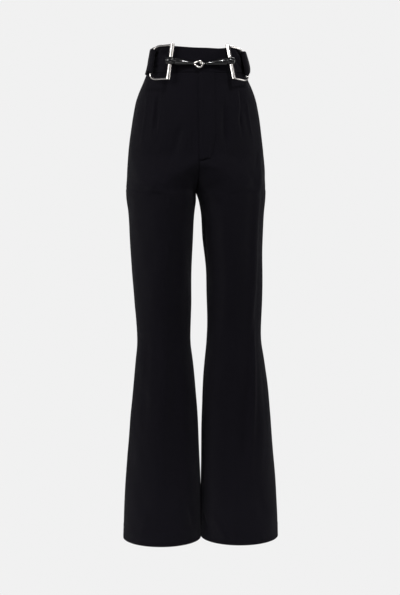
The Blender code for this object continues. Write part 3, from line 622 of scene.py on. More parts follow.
class Shader:
    """A material's tree: any node by its type, its settings and its sockets' values."""

    def __init__(self, name):
        self.material = bpy.data.materials.new(name)
        self.material.use_nodes = True
        self.tree = self.material.node_tree
        self.surface = self.tree.nodes["Principled BSDF"]

    def node(self, kind, settings=None, **sockets):
        """Adds a node, sets its settings, then its sockets, and gives its outputs."""
        node = self.tree.nodes.new(kind)
        for key, value in (settings or {}).items():
            setattr(node, key, value)
        for key, value in sockets.items():
            self.put(node.inputs[key.replace("_", " ")], value)
        return {output.name: Value(self.tree, output) for output in node.outputs}

    def put(self, socket, value):
        if isinstance(value, Value):
            self.tree.links.new(value.socket, socket)
        else:
            socket.default_value = value

    def set(self, **sockets):
        """Sets the surface's own sockets, by name with _ for a space."""
        for key, value in sockets.items():
            self.put(self.surface.inputs[key.replace("_", " ")], value)

    def noise(self, scale, detail=2.0, roughness=0.5):
        """Noise from 0 to 1 on Object coordinates, in features per metre."""
        vector = self.node("ShaderNodeTexCoord")["Object"]
        made = self.node("ShaderNodeTexNoise", Vector=vector, Scale=scale, Detail=detail,
                         Roughness=roughness)
        return made["Fac"] if "Fac" in made else made["Factor"]

    def mixed(self, share, low, high):
        """A colour between two, by a share from 0 to 1."""
        node = self.tree.nodes.new("ShaderNodeMix")
        node.data_type = "RGBA"
        for socket, value in zip([node.inputs[0], node.inputs[6], node.inputs[7]],
                                 [share, low, high]):
            self.put(socket, value)
        return Value(self.tree, node.outputs[2])

    def bumped(self, height, distance, strength=1.0):
        """A Normal from a height map, with its depth in metres."""
        made = self.node("ShaderNodeBump", Height=height, Distance=distance,
                         Strength=strength)
        self.set(Normal=made["Normal"])


print("shader helper ready")

# %% [markdown]
# ## Black crepe
# Crepe is woven from tightly twisted yarn, so its face is a fine dry pebble: almost no
# gloss, and a faint pale bloom where it turns away from the eye. A black dye leaves the
# colour a touch violet. The pebble is bump from two crossed sets of yarn, bent by noise.
# The bloom is the shader's sheen, and slow lighter patches of painted sheen lie in the
# colour.

# %% Cloth materials
CREPE = (0.0034, 0.0029, 0.0050, 1.0)
# the lighter colour: partly painted sheen, where the nap catches light in slow patches,
# partly the cloth's own mottle
CREPE_MOTTLE_AND_SHEEN = (0.0050, 0.0045, 0.0068, 1.0)   # the nap catches light in slow patches
YARNS_PER_METRE = 1900.0


def cloth_material(name, dark, light, yarns, nap):
    """Woven cloth: crossed yarns and noise for bump; in the colour, slow patches of painted
    sheen over the cloth's own fine mottle.
    """
    shader = Shader(name)
    uv = shader.node("ShaderNodeUVMap", {"uv_map": "cloth"})["UV"]
    wobble = shader.noise(260.0, 3.0, 0.6)
    crossed = shader.node("ShaderNodeSeparateXYZ", Vector=uv)
    warp = (crossed["X"] * (yarns * 2 * math.pi) + wobble * 7.0).sine()
    weft = (crossed["Y"] * (yarns * 2 * math.pi) + wobble * 9.0).sine()
    pebble = shader.noise(2600.0, 2.0, 0.7)
    patches = shader.noise(38.0, 4.0, 0.62)
    fine = shader.noise(900.0, 2.0, 0.5)
    weave = warp * weft
    # the colour moves to the lighter one by slow patches of painted sheen, and by the
    # cloth's own mottle and weave
    shader.set(Base_Color=shader.mixed(patches * 0.55 + fine * 0.30 + weave * 0.10,
                                       dark, light),
               Roughness=0.80 + patches * 0.12 + pebble * 0.06)
    shader.bumped(weave * 0.5 + pebble * 1.1 + fine * 0.5, 0.00022)
    shader.set(Specular_IOR_Level=0.07, Sheen_Weight=nap, Sheen_Roughness=0.42)
    shader.surface.inputs["Sheen Tint"].default_value = (0.80, 0.78, 0.86, 1.0)
    return shader.material


crepe = cloth_material("black_crepe", CREPE, CREPE_MOTTLE_AND_SHEEN, YARNS_PER_METRE, 0.030)
# the belt cloth's lighter colour holds the same painted sheen in slow patches
belt_cloth = cloth_material("black_belt_cloth", (0.0042, 0.0038, 0.0055, 1.0),
                            (0.0066, 0.0060, 0.0080, 1.0), 1300.0, 0.045)
print("cloth materials:", crepe.name, belt_cloth.name)

# %% Thread, nickel and black gloss
def thread_material():
    """Black polyester thread: twisted, with a low sheen."""
    shader = Shader("black_thread")
    twist = shader.noise(5200.0, 1.0)
    shader.set(Base_Color=shader.mixed(twist, (0.0025, 0.0025, 0.0032, 1.0),
                                       (0.0055, 0.0050, 0.0062, 1.0)),
               Roughness=0.5 + twist * 0.2)
    shader.set(Specular_IOR_Level=0.12)
    return shader.material


def nickel_material():
    """Polished nickel plate: bright, a little warm, with fine rub marks."""
    shader = Shader("polished_nickel")
    rub = shader.noise(420.0, 4.0, 0.6)
    cloud = shader.noise(60.0, 2.0)
    shader.set(Base_Color=shader.mixed(cloud, (0.62, 0.585, 0.555, 1.0),
                                       (0.72, 0.69, 0.66, 1.0)),
               Metallic=1.0, Roughness=0.14 + rub * 0.12)
    shader.bumped(rub, 0.00002, 0.6)
    return shader.material


def gloss_material():
    """Black lacquer over metal: dark and glossy, not quite flat."""
    shader = Shader("black_lacquer")
    flow = shader.noise(190.0, 2.0)
    dust = shader.noise(1500.0, 2.0)
    shader.set(Base_Color=shader.mixed(dust, (0.0045, 0.0045, 0.0050, 1.0),
                                       (0.0075, 0.0075, 0.0080, 1.0)),
               Roughness=0.07 + dust * 0.06)
    shader.bumped(flow, 0.00004, 0.5)
    shader.set(Specular_IOR_Level=0.5)
    return shader.material


thread, nickel, lacquer = thread_material(), nickel_material(), gloss_material()
print("hard materials:", nickel.name, lacquer.name)

# %% [markdown]
# ## The four leg panels
# Each panel is cut in one piece from the waistband to the hem. Its side edges roll in
# where they are seamed, its hem is turned up and a little thicker, and at the pocket the
# front panel's edge gapes from the side seam.

# %% Build the panels
POCKET_TOP, POCKET_FOOT = -0.075, -0.236
POCKET_GAPE = 0.0045      # of the mouth, at its middle
POCKET_REACH = 0.012      # the bearer shows this far behind the mouth
BEARER, BEARER_PAST = 0.0012, 0.017   # its wall, and how far it runs past the mouth's ends
BEARER_COLUMNS = 10
ROUND_STEPS = 4           # rows in the turn of a rounded edge
ROUND_RADIUS = 0.96       # its radius, as a share of half the wall
ROUND_TURN = math.radians(80.0)
ROUND_CLEAR = 1.5         # even rows stop this many radii short of the edge


def pocket_mouth_angle(z):
    """The front panel's side edge: the side seam, less the pocket's gape."""
    section = read_section(z)
    middle, reach = (POCKET_TOP + POCKET_FOOT) / 2, (POCKET_TOP - POCKET_FOOT) / 2
    gape = POCKET_GAPE * bump((z - middle) / reach)
    return last_angle(z) - gape / (section["side"] - section["front"])


def rounded_rows(rows, edge, thickness):
    """Rows whose last few turn in at an edge: a quarter circle of half the thickness.

    Gives the heights and how far in each row stands from the face.
    """
    radius = thickness / 2 * ROUND_RADIUS
    turn = np.linspace(0.0, ROUND_TURN, ROUND_STEPS)
    sign = 1.0 if edge < rows[0] else -1.0
    kept = rows[np.abs(rows - edge) > radius * ROUND_CLEAR]
    z = np.concatenate([kept, edge + sign * radius * (1 - np.sin(turn))])
    inset = np.concatenate([np.zeros(len(kept)), radius * (1 - np.cos(turn))])
    return z, inset


GRID = {"front": (392, 114), "back": (320, 96)}
CLOSE_ROWS = ((PANEL_TOP, 0.004, 6.0), (-0.20, 0.11, 1.3), (HEM, 0.03, 1.5),
              (HEM + HEM_DEPTH, 0.004, 3.0))
CLOSE_SHARES = ((0.0, 0.014, 5.0), (1.0, 0.014, 5.0), (DART, 0.035, 3.0))
panels = {}
for side in ("right", "left"):
    for half_name in ("front", "back"):
        rows, columns = GRID[half_name]
        rows, inset = rounded_rows(drawn_closer(PANEL_TOP, HEM, rows, CLOSE_ROWS), HEM,
                                   CLOTH)
        z, inset = rows[:, None], inset[:, None]
        share = drawn_closer(0.0, 1.0, columns, CLOSE_SHARES)[None, :]
        edge = pocket_mouth_angle(z) if half_name == "front" else last_angle(z)
        start = first_angle(side, z)
        angle = start + (edge - start) * share
        out = relief(side, half_name, share, z)
        outer = place(side, half_name, angle, z, out - inset)
        inner = place(side, half_name, angle, z, out - CLOTH + inset)
        node = f"{half_name}_panel_{side}"
        piece = cloth_wall(f"cloth_{half_name}_{side}", outer, inner, uv_of(outer), crepe,
                           [node])
        widest = float(panel_width(side, half_name, rows).max())
        net_area(base_point(side, half_name, angle, z))
        panels[side, half_name] = piece
        print(piece.name, f"{widest:.3f} x {PANEL_TOP - HEM:.3f} m,",
              len(piece.data.polygons), "faces")

# %% Pocket bearers
for side in ("right", "left"):
    z = drawn_closer(POCKET_TOP + BEARER_PAST, POCKET_FOOT - BEARER_PAST, 60)[:, None]
    section = read_section(z)
    reach = (POCKET_GAPE + POCKET_REACH) / (section["side"] - section["front"])
    share = np.linspace(0.0, 1.0, BEARER_COLUMNS)[None, :]
    angle = last_angle(z) - reach * (1.0 - share)
    below = (-CLOTH - SEAM * 2 - ROLL_DEPTH
             + fold_relief(side, "front", np.ones(share.shape), z))
    outer = place(side, "front", angle, z, below)
    inner = place(side, "front", angle, z, below - BEARER)
    piece = cloth_wall(f"cloth_bearer_{side}", outer, inner, uv_of(outer), crepe,
                       [f"pocket_bearer_{side}"])
    size = (POCKET_GAPE + POCKET_REACH, float(z[0, 0] - z[-1, 0]))
    print(piece.name, f"{size[0]:.4f} x {size[1]:.3f} m")

# %% [markdown]
# ## The fly lap
# The zip is hidden. What shows is a lap on the wearer's left front, with a straight edge
# on the middle seam and a curved one that runs in at the foot, like a J. It is made from
# the panel's own points, moved out, so it follows every crease under it.

# %% Build the fly lap
FLY_WIDTH = 0.0365
FLY_BEND, FLY_FOOT = -0.190, -0.2535
FLY_FOOT_WIDTH = 0.014
FLY_CLOTH = 0.0009
FLY_EDGE = 0.0022         # the lap's free edge thins out over this
FLY_EDGE_FACE, FLY_EDGE_BACK = 0.46, 0.2   # shares of it taken off the face and the back


def fly_width(z):
    """Width of the lap: full down to the bend, then a quarter ellipse to the foot."""
    bend = np.clip((FLY_BEND - z) / (FLY_BEND - FLY_FOOT), 0.0, 1.0)
    return FLY_FOOT_WIDTH + (FLY_WIDTH - FLY_FOOT_WIDTH) * np.sqrt(1.0 - bend ** 2)


def on_left_front(from_middle, z, out):
    """Point on the left front panel, by metres from the middle seam."""
    _, _, half = loop_of_leg("left", z)
    start = first_angle("left", z)
    angle = start + from_middle / half
    share = (angle - start) / (last_angle(z) - start)
    return place("left", "front", angle, z, relief("left", "front", share, z) + out)


J_INSET = 0.0026          # the row of stitches runs this far inside the lap's edge
J_GROOVE, J_GROOVE_REACH = 0.00020, 0.0009   # and sinks this deep, over this reach
fly_rows, fly_inset = rounded_rows(
    drawn_closer(PANEL_TOP, FLY_FOOT, 130, ((FLY_FOOT, 0.012, 3.0),)), FLY_FOOT,
    FLY_CLOTH)
z = fly_rows[:, None]
share = drawn_closer(0.0, 1.0, 48, ((1.0, 0.10, 5.0), (0.0, 0.05, 3.0)))[None, :]
from_middle = share * fly_width(z)
to_edge = fly_width(z) * (1.0 - share)
edge_inset = np.clip(1.0 - to_edge / FLY_EDGE, 0.0, 1.0) ** 2 * FLY_CLOTH * FLY_EDGE_FACE
inset = np.maximum(fly_inset[:, None], edge_inset)
groove = J_GROOVE * np.exp(-((to_edge - J_INSET) / J_GROOVE_REACH) ** 2)
outer = on_left_front(from_middle, z, SEAM + FLY_CLOTH - inset - groove)
inner = on_left_front(from_middle, z, SEAM + inset * FLY_EDGE_BACK)
fly = cloth_wall("cloth_fly_lap", outer, inner, uv_of(outer), crepe, ["fly_lap"])
net_area(outer)
print(fly.name, f"{FLY_WIDTH:.4f} x {PANEL_TOP - FLY_FOOT:.3f} m")

# %% [markdown]
# ## The waistband
# Four shaped pieces, doubled and turned over at the top, so their top edge is round. The
# belt pulls the cloth together inside each dee ring, and there it puckers.

# %% Build the waistband
WAIST_RADIUS = 0.1        # roughly, to turn a length round the waist into an angle
END_ROLL, FOOT_ROLL = 0.6, 0.5    # shares of a panel's seam roll, at the ends and the foot
FOOT_REACH = 0.0016
PUCKER_CALM = 0.006       # puckers die out over this beside a seam
# from_turn, from_z, to_turn, to_z, bend, breadth, height
PUCKERS = (
    # inside the ring at the wearer's right
    (-0.56, -0.044, -1.20, -0.042, 0.000, 0.0030, -0.0015),
    (-0.60, -0.051, -1.12, -0.050, 0.000, 0.0030, 0.0010),
    (-0.66, -0.002, -0.98, -0.034, 0.002, 0.0036, -0.0012),
    (-0.78, 0.004, -1.14, -0.036, 0.002, 0.0042, 0.0013),
    (-1.28, 0.002, -1.08, -0.018, 0.000, 0.0030, -0.0018),
    (-1.06, -0.010, -1.26, -0.028, 0.000, 0.0030, -0.0018),
    (-1.28, -0.022, -1.08, -0.042, 0.000, 0.0030, -0.0017),
    (-0.62, -0.020, -0.88, -0.024, 0.000, 0.0028, 0.0009),
    # inside the ring at the wearer's left
    (0.74, -0.002, 1.18, -0.052, 0.000, 0.0040, -0.0022),
    (0.86, 0.004, 1.26, -0.034, 0.002, 0.0042, 0.0015),
    (0.64, -0.012, 0.96, -0.054, 0.000, 0.0034, -0.0015),
    (0.68, -0.030, 0.90, -0.056, 0.000, 0.0034, 0.0012),
    (0.62, -0.002, 0.88, -0.022, 0.000, 0.0030, -0.0012),
    (0.98, -0.002, 1.30, -0.020, 0.000, 0.0034, -0.0014),
    # soft pulls along the front, and at the back
    (-0.42, -0.014, 0.10, -0.022, 0.001, 0.0060, -0.0006),
    (0.05, -0.010, 0.50, -0.016, 0.001, 0.0060, 0.0006),
    (2.00, -0.026, 2.60, -0.034, 0.001, 0.0050, -0.0009),
    (-2.10, -0.022, -2.70, -0.030, 0.001, 0.0050, 0.0009),
    (2.65, -0.044, 3.10, -0.038, 0.001, 0.0045, 0.0008),
    (-2.60, -0.012, -3.10, -0.020, 0.001, 0.0045, -0.0008),
)


def pucker_relief(theta, z):
    """The rows of PUCKERS, with their turns round the waist in metres."""
    rows = [(from_turn * WAIST_RADIUS, from_z, to_turn * WAIST_RADIUS, to_z, *form)
            for from_turn, from_z, to_turn, to_z, *form in PUCKERS]
    return line_relief(rows, theta * WAIST_RADIUS, z)


TOP_EDGE_COLUMNS = ("at", "reach", "rise")
TOP_EDGE = (              # the belt lifts the cloth's top edge where it pulls inside a ring
    (-0.95, 0.42, 0.0062),
    (-0.45, 0.30, 0.0018),
    (0.45, 0.20, -0.0012),
    (0.95, 0.24, 0.0050),
    (2.40, 0.60, 0.0010),
)


def top_edge(theta):
    """How far the waistband's top edge stands above its even height."""
    rise = np.zeros(np.shape(theta))
    for row in TOP_EDGE:
        lift = dict(zip(TOP_EDGE_COLUMNS, row))
        rise = rise + lift["rise"] * np.exp(-((theta - lift["at"]) / lift["reach"]) ** 2)
    return rise


def waistband_net(start, end):
    """Angles, heights and insets of a waistband piece between two angles."""
    theta = drawn_closer(start, end, 110, ((start, 0.02, 4.0), (end, 0.02, 4.0)))[None, :]
    rows = drawn_closer(-WAISTBAND_DEPTH + CLOSE / 2, 0.0, 44)
    z, inset = rounded_rows(rows, 0.0, WAISTBAND_WALL)
    z = z[:, None] + top_edge(theta) * ease(1.0 + z[:, None] / WAISTBAND_DEPTH)
    return theta, z, inset[:, None]


BAND_EDGE = CLOSE / 2 / WAIST_RADIUS
QUARTER = math.pi / 2
WAISTBAND_PIECES = (
    ("waistband_front_right", -QUARTER + BAND_EDGE, -BAND_EDGE),
    ("waistband_front_left", BAND_EDGE, QUARTER - BAND_EDGE),
    ("waistband_back_right", -math.pi + BAND_EDGE, -QUARTER - BAND_EDGE),
    ("waistband_back_left", QUARTER + BAND_EDGE, math.pi - BAND_EDGE),
)
for node, start, end in WAISTBAND_PIECES:
    theta, z, inset = waistband_net(start, end)
    to_end = np.minimum(theta - start, end - theta) * WAIST_RADIUS
    roll = END_ROLL * ROLL_DEPTH * np.exp(-(to_end / ROLL_REACH) ** 2)
    foot = FOOT_ROLL * ROLL_DEPTH * np.exp(-((z + WAISTBAND_DEPTH) / FOOT_REACH) ** 2)
    puckers = pucker_relief(theta, z) * ease(to_end / PUCKER_CALM)
    out = WAISTBAND_PROUD - roll - foot + puckers
    outer = around(theta, z, out - inset)
    inner = around(theta, z, WAISTBAND_PROUD - WAISTBAND_WALL - roll + inset)
    piece = cloth_wall("cloth_" + node, outer, inner, uv_of(outer), crepe,
                       [node])
    length, tall = (float(most) for most in uv_of(outer).max(axis=(0, 1)))
    net_area(outer)
    print(piece.name, f"{length:.3f} x {tall:.3f} m")

# %% [markdown]
# ## The belt band
# The band runs round the back over the waistband. Each end goes through a dee ring, folds
# round the ring's thin arc and comes back under itself. The arc is lower than the band, so
# the band gathers as it reaches the fold: ridges run along it from the ring and die out
# towards the side. The path is worked out row by row, then given a thickness.

# %% Sizes and places of the belt
BAND = 0.0024
BAND_TOP, BAND_FOOT = -0.0015, -0.0610
BAND_END_TOP, BAND_END_FOOT = 0.0310, -0.0235   # of the fold, from the arc's middle
BAND_REST = WAISTBAND_PROUD + 0.0005 + BAND / 2
BAND_TAIL = {"right": 0.20, "left": 0.28}
BAND_SETTLES = {"right": 0.38, "left": 0.75}    # turn over which the band comes to rest
BAND_SETTLES_MIDDLE = {"right": 0.05, "left": 0.40}   # and more at half its height
BAND_SETTLES_FOOT = {"right": 0.0, "left": -0.40}     # and less at its foot
BAND_SPREADS = 1.20       # turn over which the band comes to its full height
BAND_TAIL_POINTS, BAND_TURN_POINTS, BAND_OUTER_POINTS = 20, 17, 60
BAND_BACK_POINTS = 148    # round the back, between the two ends
BELT_TURN = math.radians(2.6)   # the belt has slid round the waist by this much
RUN_CLEARANCE = 0.0003
DEE_HEIGHT, DEE_WIDTH = 0.084, 0.054
DEE_BAR, DEE_WIRE, DEE_BEVEL = 0.0049, 0.00215, 0.0008
DEE_CORNER_OUT, DEE_CORNER_UP = 0.019, 0.0115
DEE_JOIN_SWELL, DEE_JOIN_REACH = 0.25, 0.006   # the arc thickens where it meets the bar
DEE_CENTRE = Vector((0.0690, -0.0876, -0.0320))
DEE_LEAN_IN = -0.156
DEE_LEAN_BACK = {"right": 0.20, "left": 0.34}
DEE_TOWARDS_ARC = Vector((0.0425, 0.0425, 0.0))


def belt_turned(point):
    """A point of the belt's hardware, turned with the belt round the waist."""
    return Matrix.Rotation(BELT_TURN, 4, "Z") @ Vector(point)


def dee_axes(side):
    """Centre of the bar, the bar's direction and the way to the arc."""
    mirror = Vector((SIDE_SIGN[side], 1.0, 1.0))
    lean = Vector((DEE_LEAN_IN, DEE_LEAN_BACK[side], 1.0)).normalized()
    centre = belt_turned(DEE_CENTRE * mirror)
    up = belt_turned(lean * mirror)
    towards = belt_turned(DEE_TOWARDS_ARC * mirror)
    towards = (towards - up * towards.dot(up)).normalized()
    return centre, up, towards


def dee_arc_at(side, z):
    """Where the arc passes a height: on its straight run, or round its corner."""
    centre, up, towards = dee_axes(side)
    foot = centre + towards * DEE_WIDTH
    along_run = (z - foot.z) / up.z
    corner_start = DEE_HEIGHT / 2 - DEE_WIRE - DEE_BEVEL - DEE_CORNER_UP
    past = min(max(abs(along_run) - corner_start, 0.0) / DEE_CORNER_UP, 0.95)
    drawn_in = DEE_CORNER_OUT * (1.0 - math.sqrt(1.0 - past ** 2))
    return foot + up * along_run - towards * drawn_in


def nearest_on_waist(point):
    """Angle round the waist and distance off the face of a point beside it."""
    theta = np.linspace(-math.pi, math.pi, 2881)
    face = around(theta, point.z, 0.0)
    gap = np.linalg.norm(face[:, :2] - np.array(point[:2]), axis=1)
    nearest = int(np.argmin(gap))
    return theta[nearest], gap[nearest]


print("dee ring centres:", [tuple(round(v, 4) for v in dee_axes(s)[0])
                            for s in ("right", "left")])


# %% Path of the band
def band_height(level, side, reach):
    """Height of a level of the band, at an angle round the waist from a fold."""
    centre, _, towards = dee_axes(side)
    at_fold = (centre.z + towards.z * DEE_WIDTH
               + BAND_END_TOP + (BAND_END_FOOT - BAND_END_TOP) * level)
    at_rest = BAND_TOP + (BAND_FOOT - BAND_TOP) * level
    return at_fold + (at_rest - at_fold) * ease(reach / BAND_SPREADS)


def band_end(side, level):
    """A level of one end: the tail, half a turn round the arc, and the outer layer.

    The half turn is the arc's middle less a circle of the fold's radius, through the
    outward and the backward directions. Beyond it the distance off the face eases down.
    """
    sign = SIDE_SIGN[side]
    z_end = float(band_height(level, side, 0.0))
    middle = dee_arc_at(side, z_end)
    theta, off = nearest_on_waist(middle)
    fold = DEE_WIRE + RUN_CLEARANCE + BAND / 2
    share = np.linspace(1.0, 0.0, BAND_TAIL_POINTS + 1)[:-1]
    tail = around(theta + sign * BAND_TAIL[side] * share, z_end,
                  (off - fold) + (BAND_REST - off + fold) * ease(share))
    back = around(theta + sign * 0.02, z_end, off) - around(theta, z_end, off)
    back /= np.linalg.norm(back)
    outwards = np.cross(back, (0.0, 0.0, sign))
    turns = np.linspace(0.0, math.pi, BAND_TURN_POINTS)[:, None]
    bend = np.array(middle) - fold * (outwards * np.cos(turns) + back * np.sin(turns))
    share = np.linspace(0.0, 1.0, BAND_OUTER_POINTS + 1)[1:]
    settles = (BAND_SETTLES[side] + BAND_SETTLES_MIDDLE[side] * math.sin(math.pi * level)
               + BAND_SETTLES_FOOT[side] * level ** 2)
    reach = settles * share
    leaving = BAND_REST + (off + fold - BAND_REST) * (1.0 - ease(share))
    outer = around(theta + sign * reach, band_height(level, side, reach), leaving)
    return np.concatenate([tail, bend, outer]), theta, theta + sign * reach[-1]


def band_path(level):
    """A level of the whole band, from one tail's end to the other's."""
    right, right_fold, right_theta = band_end("right", level)
    left, left_fold, left_theta = band_end("left", level)
    sweep = np.linspace(right_theta, left_theta - 2 * math.pi, BAND_BACK_POINTS + 2)[1:-1]
    from_right = band_height(level, "right", right_fold - sweep)
    from_left = band_height(level, "left", sweep + 2 * math.pi - left_fold)
    z = np.where(sweep > -math.pi, from_right, from_left)
    middle = around(np.where(sweep < -math.pi, sweep + 2 * math.pi, sweep), z, BAND_REST)
    return np.concatenate([right, middle, left[::-1]])


BAND_LEVELS = drawn_closer(0.0, 1.0, 34, ((0.0, 0.03, 3.0), (1.0, 0.03, 3.0)))
band_net = np.array([band_path(level) for level in BAND_LEVELS])
print("belt band:", band_net.shape[0], "by", band_net.shape[1], "points")

# %% Gather the band and close it
GATHER_HEIGHT = 0.0011    # of the ridges, at the fold
GATHER_START, GATHER_REACH = 0.006, 0.050   # they rise and die out this far from the fold
GATHER_RIDGES = {"right": ((0.16, 0.05, 1.0), (0.34, 0.06, 0.6), (0.55, 0.05, 0.9),
                           (0.78, 0.06, 0.7)),
                 "left": ((0.12, 0.05, 0.8), (0.30, 0.05, 1.0), (0.49, 0.07, 0.7),
                          (0.66, 0.05, 1.0), (0.86, 0.05, 0.6))}
BAND_EDGE_REACH, BAND_EDGE_SHARE = 0.0012, 0.42   # its long edges thin out by this share
WAVER_HEIGHT, WAVER_LENGTH, WAVER_LEAN = 0.0003, 0.021, 3.0   # it is never quite flat
WAVER_START = 0.02


def gathered(side, along):
    """Ridges across the band's height, each a bell at a level, fading along the band."""
    level = BAND_LEVELS[:, None]
    ridges = sum(much * np.exp(-((level - at) / breadth) ** 2)
                 for at, breadth, much in GATHER_RIDGES[side])
    return (GATHER_HEIGHT * ridges * np.exp(-(along / GATHER_REACH) ** 2)
            * ease(along / GATHER_START))


steps = np.diff(band_net[..., :2], axis=1)
steps /= np.linalg.norm(steps, axis=-1, keepdims=True)
along = np.concatenate([steps[:, :1], steps[:, 1:] + steps[:, :-1], steps[:, -1:]], 1)
along /= np.linalg.norm(along, axis=-1, keepdims=True)
outwards = np.stack([-along[..., 1], along[..., 0], np.zeros(along.shape[:2])], -1)
length = uv_of(band_net)[..., 0]
first_fold = BAND_TAIL_POINTS + BAND_TURN_POINTS
last_fold = band_net.shape[1] - 1 - first_fold
from_right = length - length[:, first_fold:first_fold + 1]
from_left = length[:, last_fold:last_fold + 1] - length
swell = np.where(from_right > 0, gathered("right", from_right), 0)
swell += np.where(from_left > 0, gathered("left", from_left), 0)
to_edge = np.minimum(BAND_LEVELS, 1 - BAND_LEVELS) * (BAND_TOP - BAND_FOOT)
edge_round = np.clip(1.0 - to_edge / BAND_EDGE_REACH, 0.0, 1.0)[:, None] ** 2 * (
    BAND * BAND_EDGE_SHARE)
waver = WAVER_HEIGHT * np.sin(length / WAVER_LENGTH + WAVER_LEAN * BAND_LEVELS[:, None])
waver *= (from_right > WAVER_START) & (from_left > WAVER_START)
side_a = band_net + outwards * (BAND / 2 - edge_round)[..., None]
side_b = band_net - outwards * (BAND / 2 - edge_round + swell + waver * 0.5)[..., None]
belt = cloth_wall("cloth_belt_band", side_b, side_a, uv_of(side_b), belt_cloth,
                  ["belt_band"])
belt_length, belt_height = float(uv_of(band_net)[..., 0].max()), BAND_TOP - BAND_FOOT
net_area(band_net)
print(belt.name, f"{belt_length:.3f} x {belt_height:.4f} m,",
      f"{net_area(band_net):.4f} square metres")

# %% [markdown]
# ## Rings, arms and links
# The hardware is turned or bent from round stock, so one function makes it all: a circle
# carried along a path, with its own radius at each point. The path lies in a plane, and
# that plane's normal keeps the circle from twisting. Where the radius falls to nothing
# the circle closes to a pole.

# %% A circle along a path
def tube_net(path, radius, normal, closed, sides, straight=False):
    """The path's point plus the radius times cosine and sine along two side vectors."""
    path = np.asarray(path, float)
    ahead = np.roll(path, -1, 0) - np.roll(path, 1, 0)
    if straight:
        ahead[:] = path[-1] - path[0]
    elif not closed:
        ahead[0], ahead[-1] = path[1] - path[0], path[-1] - path[-2]
    ahead /= np.linalg.norm(ahead, axis=1, keepdims=True)
    first = np.asarray(normal, float) - ahead * (ahead @ np.asarray(normal, float))[:, None]
    first /= np.linalg.norm(first, axis=1, keepdims=True)
    second = np.cross(ahead, first)
    turn = np.linspace(0.0, 2 * math.pi, sides, endpoint=False)
    ring = (first[:, None] * np.cos(turn)[None, :, None]
            + second[:, None] * np.sin(turn)[None, :, None])
    radius = np.broadcast_to(radius, (len(path),))
    return path[:, None] + ring * radius[:, None, None]


def faces_outwards(mesh, weld=False):
    """Turn every face outwards, after merging the points of each pole if asked to."""
    work = bmesh.new()
    work.from_mesh(mesh)
    if weld:
        bmesh.ops.remove_doubles(work, verts=work.verts, dist=1e-6)
    bmesh.ops.recalc_face_normals(work, faces=work.faces)
    work.to_mesh(mesh)
    work.free()


def tube_mesh(name, path, radius, normal, closed=False, sides=28, straight=False):
    """A closed mesh of a circle carried along a path."""
    net = tube_net(path, radius, normal, closed, sides, straight)
    if closed:
        net = np.concatenate([net, net[:1]])
    mesh = new_mesh(name, net.reshape(-1, 3), net_faces(len(net), sides, True))
    faces_outwards(mesh, weld=True)
    return mesh


def smooth_path(points, count, closed=False):
    """Even points along a curve through the given ones (Catmull and Rom's cubic)."""
    points = np.asarray(points, float)
    padded = (np.concatenate([points[-1:], points, points[:2]]) if closed
              else np.concatenate([2 * points[:1] - points[1:2], points,
                                   2 * points[-1:] - points[-2:-1]]))
    spans = len(padded) - 3
    t = np.linspace(0.0, spans, 24 * spans + 1)
    k = np.minimum(t.astype(int), spans - 1)
    s = (t - k)[:, None]
    p0, p1, p2, p3 = (padded[k + j] for j in range(4))
    fine = 0.5 * (2 * p1 + (p2 - p0) * s + (2 * p0 - 5 * p1 + 4 * p2 - p3) * s ** 2
                  + (3 * p1 - p0 - 3 * p2 + p3) * s ** 3)
    run = np.concatenate([[0], np.cumsum(np.linalg.norm(np.diff(fine, axis=0), axis=1))])
    at = np.linspace(0.0, run[-1], count + 1 if closed else count)
    even = np.stack([np.interp(at, run, fine[:, j]) for j in range(3)], axis=1)
    return even[:-1] if closed else even


def joined(name, meshes):
    """One mesh from several: their points and faces side by side."""
    work = bmesh.new()
    for mesh in meshes:
        work.from_mesh(mesh)
        bpy.data.meshes.remove(mesh)
    mesh = bpy.data.meshes.new(name)
    work.to_mesh(mesh)
    work.free()
    return mesh


# %% Dee rings
METAL_SHARP = 38.0        # degrees; an edge that turns by more shows as an edge


def rounded_rod(start, end, radius, bevel):
    """Path and radius of a rod whose ends turn in over a quarter circle to a pole."""
    turn = np.linspace(0.0, math.pi / 2, 6)
    length = (end - start).length
    run_in = bevel * (1 - np.cos(turn))
    along = np.concatenate([[0.0], run_in, length - run_in[::-1], [length]])
    rim = radius - bevel + bevel * np.sin(turn)
    size = np.concatenate([[0.0], rim, rim[::-1], [0.0]])
    direction = np.array((end - start).normalized())
    return np.array(start) + along[:, None] * direction, size


def dee_mesh(side):
    """The straight bar and the thinner arc, which goes out, round two corners and back."""
    centre, up, towards = dee_axes(side)
    reach_up = DEE_HEIGHT / 2 - DEE_WIRE - DEE_BEVEL
    turn = np.linspace(0.0, math.pi / 2, 14)
    corner_out = DEE_WIDTH - DEE_CORNER_OUT + DEE_CORNER_OUT * np.sin(turn)
    corner_up = reach_up - DEE_CORNER_UP + DEE_CORNER_UP * np.cos(turn)
    straight = np.linspace(0.0, DEE_WIDTH - DEE_CORNER_OUT, 9)[:-1]
    outs = np.concatenate([straight, corner_out, corner_out[::-1], straight[::-1]])
    level = np.full(len(straight), reach_up)
    ups = np.concatenate([level, corner_up, -corner_up[::-1], -level])
    path = np.array(centre) + outs[:, None] * np.array(towards) + ups[:, None] * np.array(up)
    swell = 1.0 + DEE_JOIN_SWELL * ease(1.0 - (outs - DEE_BAR) / DEE_JOIN_REACH)
    arc = tube_mesh("arc", path, DEE_WIRE * swell, up.cross(towards), sides=24)
    bar_path, bar_size = rounded_rod(centre - up * DEE_HEIGHT / 2,
                                     centre + up * DEE_HEIGHT / 2, DEE_BAR, DEE_BEVEL)
    bar = tube_mesh("bar", bar_path, bar_size, towards, sides=40, straight=True)
    return joined(f"dee_{side}", [bar, arc])


